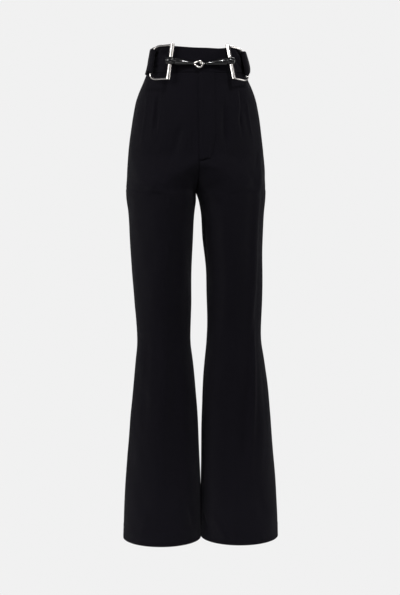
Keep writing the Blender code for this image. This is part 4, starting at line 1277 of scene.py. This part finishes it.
for side in ("right", "left"):
    dee = finish_piece(f"dee_{side}", dee_mesh(side), nickel,
                       [f"dee_ring_{side}"], sharp=METAL_SHARP)
    print(dee.name, len(dee.data.polygons), "faces")

# %% [markdown]
# Each arm is turned: a barrel that runs on the dee ring's bar, a groove, a collar and a
# long taper to the joint. The radius along the arm is its profile.

# %% Bit arms
BALL_LENGTH, BALL_RADIUS = 0.0240, 0.0099
BALL_FULLNESS = 0.8       # a power under 1 makes the barrel fuller than a ball
NECK_TURN = 0.80 * math.pi   # the barrel's curve stops here, at the groove
NECK_GAP, COLLAR_ROUND = 0.0006, 0.0016
TAPER_FROM, TAPER_TO = 0.04, 0.975   # shares of the sleeve's length
TAPER_STRAIGHT = 0.10     # the rest of the taper is an S
TIP_FULLNESS = 0.7
BIT_Z_BALL = -0.0304
BIT_JOINT = Vector((0.0, -0.1004, -0.0375))
ARM_RADIUS, ARM_TIP_RADIUS = 0.0086, 0.0036
RING_RADIUS, RING_WIRE = 0.0071, 0.00195
RING_OFFSET, RING_POINT = -0.0041, 0.0131
EYE_HALF_WIDTH, EYE_WIRE = 0.0042, 0.0019
EYE_NEAR, EYE_FAR, EYE_LIFT = -0.0026, 0.0100, 0.0022
BORE_REACH = 0.02         # the drill starts and ends this far from the ball's centre
BORE_SIDES = 40


def arm_profile(length):
    """Distances along an arm and its radius: ball, groove, collar, taper, round tip."""
    half = BALL_LENGTH / 2
    turn = np.linspace(0.0, NECK_TURN, 26)
    ball = -half * np.cos(turn)
    ball_size = BALL_RADIUS * np.sqrt(np.clip(1 - (ball / half) ** 2, 0, 1)) ** BALL_FULLNESS
    collar_turn = np.linspace(0.0, math.pi / 2, 5)
    collar = ball[-1] + NECK_GAP + COLLAR_ROUND * (1 - np.cos(collar_turn))
    collar_size = ARM_RADIUS - COLLAR_ROUND * (1 - np.sin(collar_turn))
    taper = np.linspace(TAPER_FROM, TAPER_TO, 24)
    sleeve = collar[-1] + (length - collar[-1]) * taper
    sleeve_size = ARM_RADIUS + (ARM_TIP_RADIUS - ARM_RADIUS) * (
        TAPER_STRAIGHT * taper + (1 - TAPER_STRAIGHT) * ease(taper))
    tip_turn = np.linspace(math.pi / 2, 0.0, 6)[1:]
    rest = length - sleeve[-1]
    tip = length - rest * (1 - np.cos(tip_turn))
    tip_size = sleeve_size[-1] * np.sin(tip_turn) ** TIP_FULLNESS
    return (np.concatenate([ball, collar, sleeve, tip]),
            np.concatenate([ball_size, collar_size, sleeve_size, tip_size]))


def arm_line(side, tip):
    """Centre of the ball, direction to the joint, and length of an arm."""
    centre, up, _ = dee_axes(side)
    ball = centre + up * ((BIT_Z_BALL - centre.z) / up.z)
    joint = belt_turned(BIT_JOINT)
    return ball, (joint - ball).normalized(), (joint - ball).length - tip


def bored(piece, start, end, radius):
    """Cut a round hole through a piece, and keep the cut mesh."""
    path = np.linspace(np.array(start), np.array(end), 2)
    net = tube_net(path, radius, (1.0, 0.2, 0.1), False, BORE_SIDES)
    points = np.concatenate([net.reshape(-1, 3), path])
    cutter_mesh = bpy.data.meshes.new("drill")
    sides = [tuple(face) for face in net_faces(2, BORE_SIDES, True)]
    first, last = 2 * BORE_SIDES, 2 * BORE_SIDES + 1
    ends = [(first, (k + 1) % BORE_SIDES, k) for k in range(BORE_SIDES)]
    ends += [(last, BORE_SIDES + k, BORE_SIDES + (k + 1) % BORE_SIDES)
             for k in range(BORE_SIDES)]
    cutter_mesh.from_pydata(points.tolist(), [], sides + ends)
    faces_outwards(cutter_mesh, weld=True)
    cutter = bpy.data.objects.new("drill", cutter_mesh)
    bpy.context.scene.collection.objects.link(cutter)
    cut = piece.modifiers.new("bore", "BOOLEAN")
    cut.operation, cut.solver, cut.object = "DIFFERENCE", "EXACT", cutter
    graph = bpy.context.evaluated_depsgraph_get()
    mesh = bpy.data.meshes.new_from_object(piece.evaluated_get(graph))
    piece.modifiers.clear()
    bpy.data.objects.remove(cutter)
    piece.data = mesh
    mesh.polygons.foreach_set("use_smooth", np.ones(len(mesh.polygons), bool))
    mesh.set_sharp_from_angle(angle=math.radians(METAL_SHARP))


ARM_TIPS = {"right": RING_POINT - RING_OFFSET, "left": EYE_FAR}
for side in ("right", "left"):
    ball, direction, length = arm_line(side, ARM_TIPS[side])
    along, size = arm_profile(length)
    path = np.array(ball) + along[:, None] * np.array(direction)
    up = dee_axes(side)[1]
    mesh = tube_mesh(f"arm_{side}", path, size, up, sides=44, straight=True)
    arm = finish_piece(f"arm_{side}", mesh, lacquer, [f"bit_arm_{side}"],
                       sharp=METAL_SHARP)
    bored(arm, ball - up * BORE_REACH, ball + up * BORE_REACH, DEE_BAR + RUN_CLEARANCE)
    print(arm.name, f"{length * 1000:.1f} mm from ball to tip,", len(arm.data.polygons),
          "faces")

# %% Ring and eye
RING_ARC = 131.0          # degrees; from here both wires run straight to the arm's tip
EYE_FLANKS = ((0.45, 1.0), (0.80, 0.62))   # share of the way to the tip, share of the width
joint = belt_turned(BIT_JOINT)
across = belt_turned(Vector((1.0, 0.0, 0.0))).normalized()
upright = Vector((0.0, 0.0, 1.0))
forward = upright.cross(across)
ball, direction, length = arm_line("right", ARM_TIPS["right"])
ring_tip = ball + direction * (length + SEAM + RING_WIRE)
ring_centre = joint + across * RING_OFFSET
turns = np.radians(np.linspace(-RING_ARC, RING_ARC, 25))
ring_path = [ring_centre + across * (RING_RADIUS * math.cos(t))
             + upright * (RING_RADIUS * math.sin(t)) for t in turns]
ring_path = smooth_path([*ring_path, ring_tip], 120, closed=True)
ring = finish_piece("link_ring", tube_mesh("link_ring", ring_path, RING_WIRE, forward,
                                           True, 20), nickel, ["bit_ring"])

ball, direction, length = arm_line("left", ARM_TIPS["left"])
eye_tip = ball + direction * (length + SEAM + EYE_WIRE)
near = joint + across * (EYE_NEAR + EYE_HALF_WIDTH) + upright * EYE_LIFT
run = eye_tip - near
run -= forward * run.dot(forward)
turns = np.radians(np.linspace(90.0, 270.0, 13))
eye_path = [near + across * (EYE_HALF_WIDTH * math.cos(t))
            + forward * (EYE_HALF_WIDTH * math.sin(t)) for t in turns]
eye_path += [near + run * share - forward * EYE_HALF_WIDTH * width
             for share, width in EYE_FLANKS]
eye_path.append(eye_tip)
eye_path += [near + run * share + forward * EYE_HALF_WIDTH * width
             for share, width in reversed(EYE_FLANKS)]
eye_path = smooth_path(eye_path, 100, closed=True)
eye = finish_piece("link_eye", tube_mesh("link_eye", eye_path, EYE_WIRE, upright, True,
                                         20), nickel, ["bit_eye"])
print(ring.name, eye.name)

# %% [markdown]
# ## Sewing
# Seen close, sewing is rows of short rounded threads that sink in a little at both ends.
# One stitch is a small capsule. All stitches of a seam are worked out together: the
# capsule's points times each stitch's own axes, as one array.

# %% Stitches
STITCH, STITCH_PITCH, STITCH_RADIUS = 0.0023, 0.0030, 0.00022
STITCH_RINGS = ((-0.5, 0.35, -0.5), (-0.36, 1.0, 0.2), (0.0, 1.05, 0.45),
                (0.36, 1.0, 0.2), (0.5, 0.35, -0.5))   # along, radius, rise


def stitch_template():
    """Points and faces of one stitch: five six-sided rings and two end caps."""
    turn = np.linspace(0.0, 2 * math.pi, 6, endpoint=False)
    rings = [np.stack([np.full(6, along * STITCH), radius * STITCH_RADIUS * np.cos(turn),
                       radius * STITCH_RADIUS * np.sin(turn) + rise * STITCH_RADIUS], -1)
             for along, radius, rise in STITCH_RINGS]
    faces = net_faces(len(rings), 6, True)
    last = 6 * (len(rings) - 1)
    caps = np.array([(0, 1, 2, 3), (0, 3, 4, 5), (last + 3, last + 2, last + 1, last),
                     (last + 5, last + 4, last + 3, last)])
    return np.concatenate(rings), np.concatenate([faces, caps])


def stitch_row(path, outwards, pitch=STITCH_PITCH):
    """Points of a row of stitches along a fine path, with its outward directions."""
    run = np.concatenate([[0], np.cumsum(np.linalg.norm(np.diff(path, axis=0), axis=1))])
    at = np.arange(pitch / 2, run[-1], pitch)

    def read(values, where):
        return np.stack([np.interp(where, run, values[:, j]) for j in range(3)], axis=1)

    centre, normal = read(path, at), read(outwards, at)
    along = read(path, at + STITCH / 4) - read(path, at - STITCH / 4)
    along /= np.linalg.norm(along, axis=1, keepdims=True)
    aside = np.cross(normal, along)
    aside /= np.linalg.norm(aside, axis=1, keepdims=True)
    rise = np.cross(along, aside)
    template, _ = stitch_template()
    return (centre[:, None] + template[None, :, :1] * along[:, None]
            + template[None, :, 1:2] * aside[:, None]
            + template[None, :, 2:] * rise[:, None]).reshape(-1, 3)


def sewn(name, rows):
    """One piece from several rows: the template's faces, counted on for each stitch."""
    template, faces = stitch_template()
    points = np.concatenate(rows)
    count = len(points) // len(template)
    all_faces = faces[None] + len(template) * np.arange(count)[:, None, None]
    mesh = new_mesh(name, points, all_faces.reshape(-1, 4))
    faces_outwards(mesh)
    piece = finish_piece(name, mesh, thread, sharp=60.0)
    print(name, count, "stitches")
    return piece


# %% Sew the fly, the pockets and the belt
THREAD_LIFT = 0.0001      # a row's middle stands this far off the cloth
J_FROM, J_TO = PANEL_TOP - 0.001, FLY_FOOT + 0.0028
TACK_OUT, TACK_IN = (FLY_FOOT_WIDTH - 0.0016, FLY_FOOT + 0.0026), (0.0012, FLY_FOOT + 0.0018)
POCKET_ROW_FROM, POCKET_ROW_TO = POCKET_TOP + 0.010, POCKET_FOOT - 0.002
POCKET_ROW_IN = 0.0065    # from the mouth's edge
BAND_ROWS = (0.055, 0.945)   # levels of the band's two rows
BAND_ROWS_SHOW = 6        # points of each fold that the rows reach round


def row_on(surface):
    """A row of stitches on a surface, whose outward directions come from two offsets."""
    path = surface(0.0)
    normal = surface(0.001) - path
    normal /= np.linalg.norm(normal, axis=1, keepdims=True)
    return stitch_row(path + normal * THREAD_LIFT, normal)


z = drawn_closer(J_FROM, J_TO, 160, ((FLY_FOOT, 0.006, 5.0),))


def fly_j(out):
    """The J: the lap's width less an inset, down to its foot."""
    return on_left_front((fly_width(z) - J_INSET)[:, None], z[:, None],
                         SEAM + FLY_CLOTH - J_GROOVE + out)[:, 0]


foot_across, foot_z = np.linspace(TACK_OUT, TACK_IN, 20).T


def fly_tack(out):
    """The end of the J: a short run in to the middle seam."""
    return on_left_front(foot_across[:, None], foot_z[:, None],
                         SEAM + FLY_CLOTH + out)[:, 0]


def pocket_line(side, from_edge):
    """A line beside the pocket's mouth, on the front panel."""
    rows = np.linspace(POCKET_ROW_FROM, POCKET_ROW_TO, 90)[:, None]
    start = first_angle(side, rows)
    edge = pocket_mouth_angle(rows)
    section = read_section(rows)
    angle = edge - from_edge / (section["side"] - section["front"])
    share = (angle - start) / (edge - start)
    face = relief(side, "front", share, rows)
    return lambda out: place(side, "front", angle, rows, face + out)[:, 0]


sewn("stitches_fly", [row_on(fly_j), row_on(fly_tack)])
for side in ("right", "left"):
    sewn(f"stitches_pocket_{side}", [row_on(pocket_line(side, POCKET_ROW_IN))])


def band_row(level, first, last):
    """A line along the band's outer face at a level, between two shares of its length."""
    index = np.searchsorted(BAND_LEVELS, level)
    low, high = (int(share * (band_net.shape[1] - 1)) for share in (first, last))
    face, inside = side_b[index, low:high], side_a[index, low:high]
    normal = face - inside
    normal /= np.linalg.norm(normal, axis=1, keepdims=True)
    return stitch_row(face + normal * THREAD_LIFT, normal)


hidden = (first_fold - BAND_ROWS_SHOW) / (band_net.shape[1] - 1)
sewn("stitches_belt", [band_row(level, hidden, 1 - hidden) for level in BAND_ROWS])

# %% [markdown]
# ## Floor, light and camera
# Black cloth shows its form only by small differences of light. The largest softbox stands
# in front at the garment's right and lights each fold's near side, with a weaker one at its
# left. A small key high in front gives the bit its short highlights, low boxes lift the
# hems, and tall narrow boxes at both sides draw the legs' edges. Two more light the back.
# The pale floor and sky show flat to the camera and light the cloth only softly. The camera
# stands a little to the garment's right, at hip height, and looks slightly down.

# %% Floor
FLOOR_Z = HEM - 0.003      # the hems hang clear of it
FLOOR_HALF = 40.0
corners = np.array([(-1, -1), (1, -1), (1, 1), (-1, 1)], float) * FLOOR_HALF
floor_points = np.column_stack([corners, np.full(4, FLOOR_Z)])
floor_mesh = new_mesh("studio_floor", floor_points, np.array([[0, 1, 2, 3]]))
floor = bpy.data.objects.new("studio_floor", floor_mesh)
bpy.context.scene.collection.objects.link(floor)

PALE = 0.879              # linear value of the backdrop


def shown_to_camera(tree, lit, shown, output):
    """Camera rays meet one node, all other rays the other: a mix by the ray's kind."""
    ray = tree.nodes.new("ShaderNodeLightPath")
    chooser = tree.nodes.new("ShaderNodeMixShader")
    wires = ((ray.outputs["Is Camera Ray"], chooser.inputs[0]),
             (lit.outputs[0], chooser.inputs[1]), (shown.outputs[0], chooser.inputs[2]),
             (chooser.outputs[0], tree.nodes[output].inputs["Surface"]))
    for start, end in wires:
        tree.links.new(start, end)


floor_shader = Shader("pale_floor")
floor_shader.set(Base_Color=(0.42, 0.42, 0.42, 1.0), Roughness=1.0,
                 Specular_IOR_Level=0.0)
glow = floor_shader.tree.nodes.new("ShaderNodeEmission")
glow.inputs["Color"].default_value = (PALE, PALE, PALE, 1.0)
shown_to_camera(floor_shader.tree, floor_shader.surface, glow, "Material Output")
floor_mesh.materials.append(floor_shader.material)

# %% Sky and lights
world = bpy.data.worlds.new("studio")
bpy.context.scene.world = world
world.use_nodes = True
seen = world.node_tree.nodes["Background"]
seen.inputs["Color"].default_value = (PALE, PALE, PALE, 1.0)
soft_sky = world.node_tree.nodes.new("ShaderNodeBackground")
soft_sky.inputs["Color"].default_value = (0.15, 0.15, 0.16, 1.0)
shown_to_camera(world.node_tree, soft_sky, seen, "World Output")

SOFTBOX_COLUMNS = ("name", "place", "aim", "width", "height", "spread", "watts")
SOFTBOXES = (
    ("key_above", (0.735, -2.067, 2.38), (0.0, 0.0, -0.3), 0.24, 0.30, 180.0, 60.0),
    ("front_left", (-2.6, -1.7, 1.2), (0.0, 0.0, -0.7), 1.8, 2.2, 180.0, 77.0),
    ("front_right", (2.2, -1.9, 1.1), (0.0, 0.0, -0.7), 1.6, 2.0, 180.0, 10.0),
    ("low_front", (-0.5, -2.4, -0.85), (0.0, 0.0, -1.0), 1.6, 0.5, 180.0, 5.0),
    ("hem_front", (-0.2, -1.9, -0.80), (0.0, 0.0, -1.25), 1.2, 0.3, 22.0, 0.6),
    ("strip_left", (-2.2, 0.35, -0.5), (0.0, 0.0, -0.6), 0.7, 2.2, 180.0, 2.0),
    ("strip_right", (2.4, -0.10, -0.4), (0.0, 0.0, -0.6), 0.7, 2.2, 180.0, 16.0),
    ("back_key", (0.7, 2.8, 1.5), (0.0, 0.0, -0.5), 1.6, 1.8, 180.0, 70.0),
    ("back_fill", (-1.6, 2.6, 0.6), (0.0, 0.0, -0.6), 1.4, 1.8, 180.0, 20.0),
)
for row in SOFTBOXES:
    box = dict(zip(SOFTBOX_COLUMNS, row))
    light = bpy.data.lights.new(box["name"], "AREA")
    light.shape, light.size, light.size_y = "RECTANGLE", box["width"], box["height"]
    light.spread = math.radians(box["spread"])
    light.energy = box["watts"]
    lamp = bpy.data.objects.new(box["name"], light)
    lamp.location = box["place"]
    aim = Vector(box["aim"]) - Vector(box["place"])
    lamp.rotation_euler = aim.to_track_quat("-Z", "Y").to_euler()
    bpy.context.scene.collection.objects.link(lamp)
print(len(SOFTBOXES), "softboxes")

# %% Camera
CAMERA_TURN = math.radians(4.0)     # towards the wearer's right
CAMERA_AWAY, CAMERA_Z = 3.4, -0.15
CAMERA_TILT = math.radians(7.25)
FOCAL_PIXELS = 1440.7
FRAME_WIDTH, FRAME_HEIGHT = 400, 595
AXIS_PIXEL = 196.1                  # column of the photo where the waist's axis stands
SENSOR = 36.0

camera_data = bpy.data.cameras.new("camera")
camera_data.sensor_fit = "VERTICAL"
camera_data.sensor_height = SENSOR
camera_data.sensor_width = SENSOR
camera_data.lens = FOCAL_PIXELS / FRAME_HEIGHT * SENSOR
camera_data.dof.use_dof = False
camera = bpy.data.objects.new("camera", camera_data)
bpy.context.scene.collection.objects.link(camera)
yaw = CAMERA_TURN + math.atan((FRAME_WIDTH / 2 - AXIS_PIXEL) / FOCAL_PIXELS)
ahead = Vector((math.sin(yaw) * math.cos(CAMERA_TILT),
                math.cos(yaw) * math.cos(CAMERA_TILT), -math.sin(CAMERA_TILT)))
rightwards = Vector((math.cos(yaw), -math.sin(yaw), 0.0))
upwards = rightwards.cross(ahead)
turned = Matrix((rightwards, upwards, -ahead)).transposed().to_4x4()
stand = Vector((-CAMERA_AWAY * math.sin(CAMERA_TURN),
                -CAMERA_AWAY * math.cos(CAMERA_TURN), CAMERA_Z))
camera.matrix_world = Matrix.Translation(stand) @ turned
bpy.context.scene.camera = camera
bpy.context.scene.view_settings.view_transform = "Standard"
print("camera at", tuple(round(v, 3) for v in stand), "lens", round(camera_data.lens, 2))
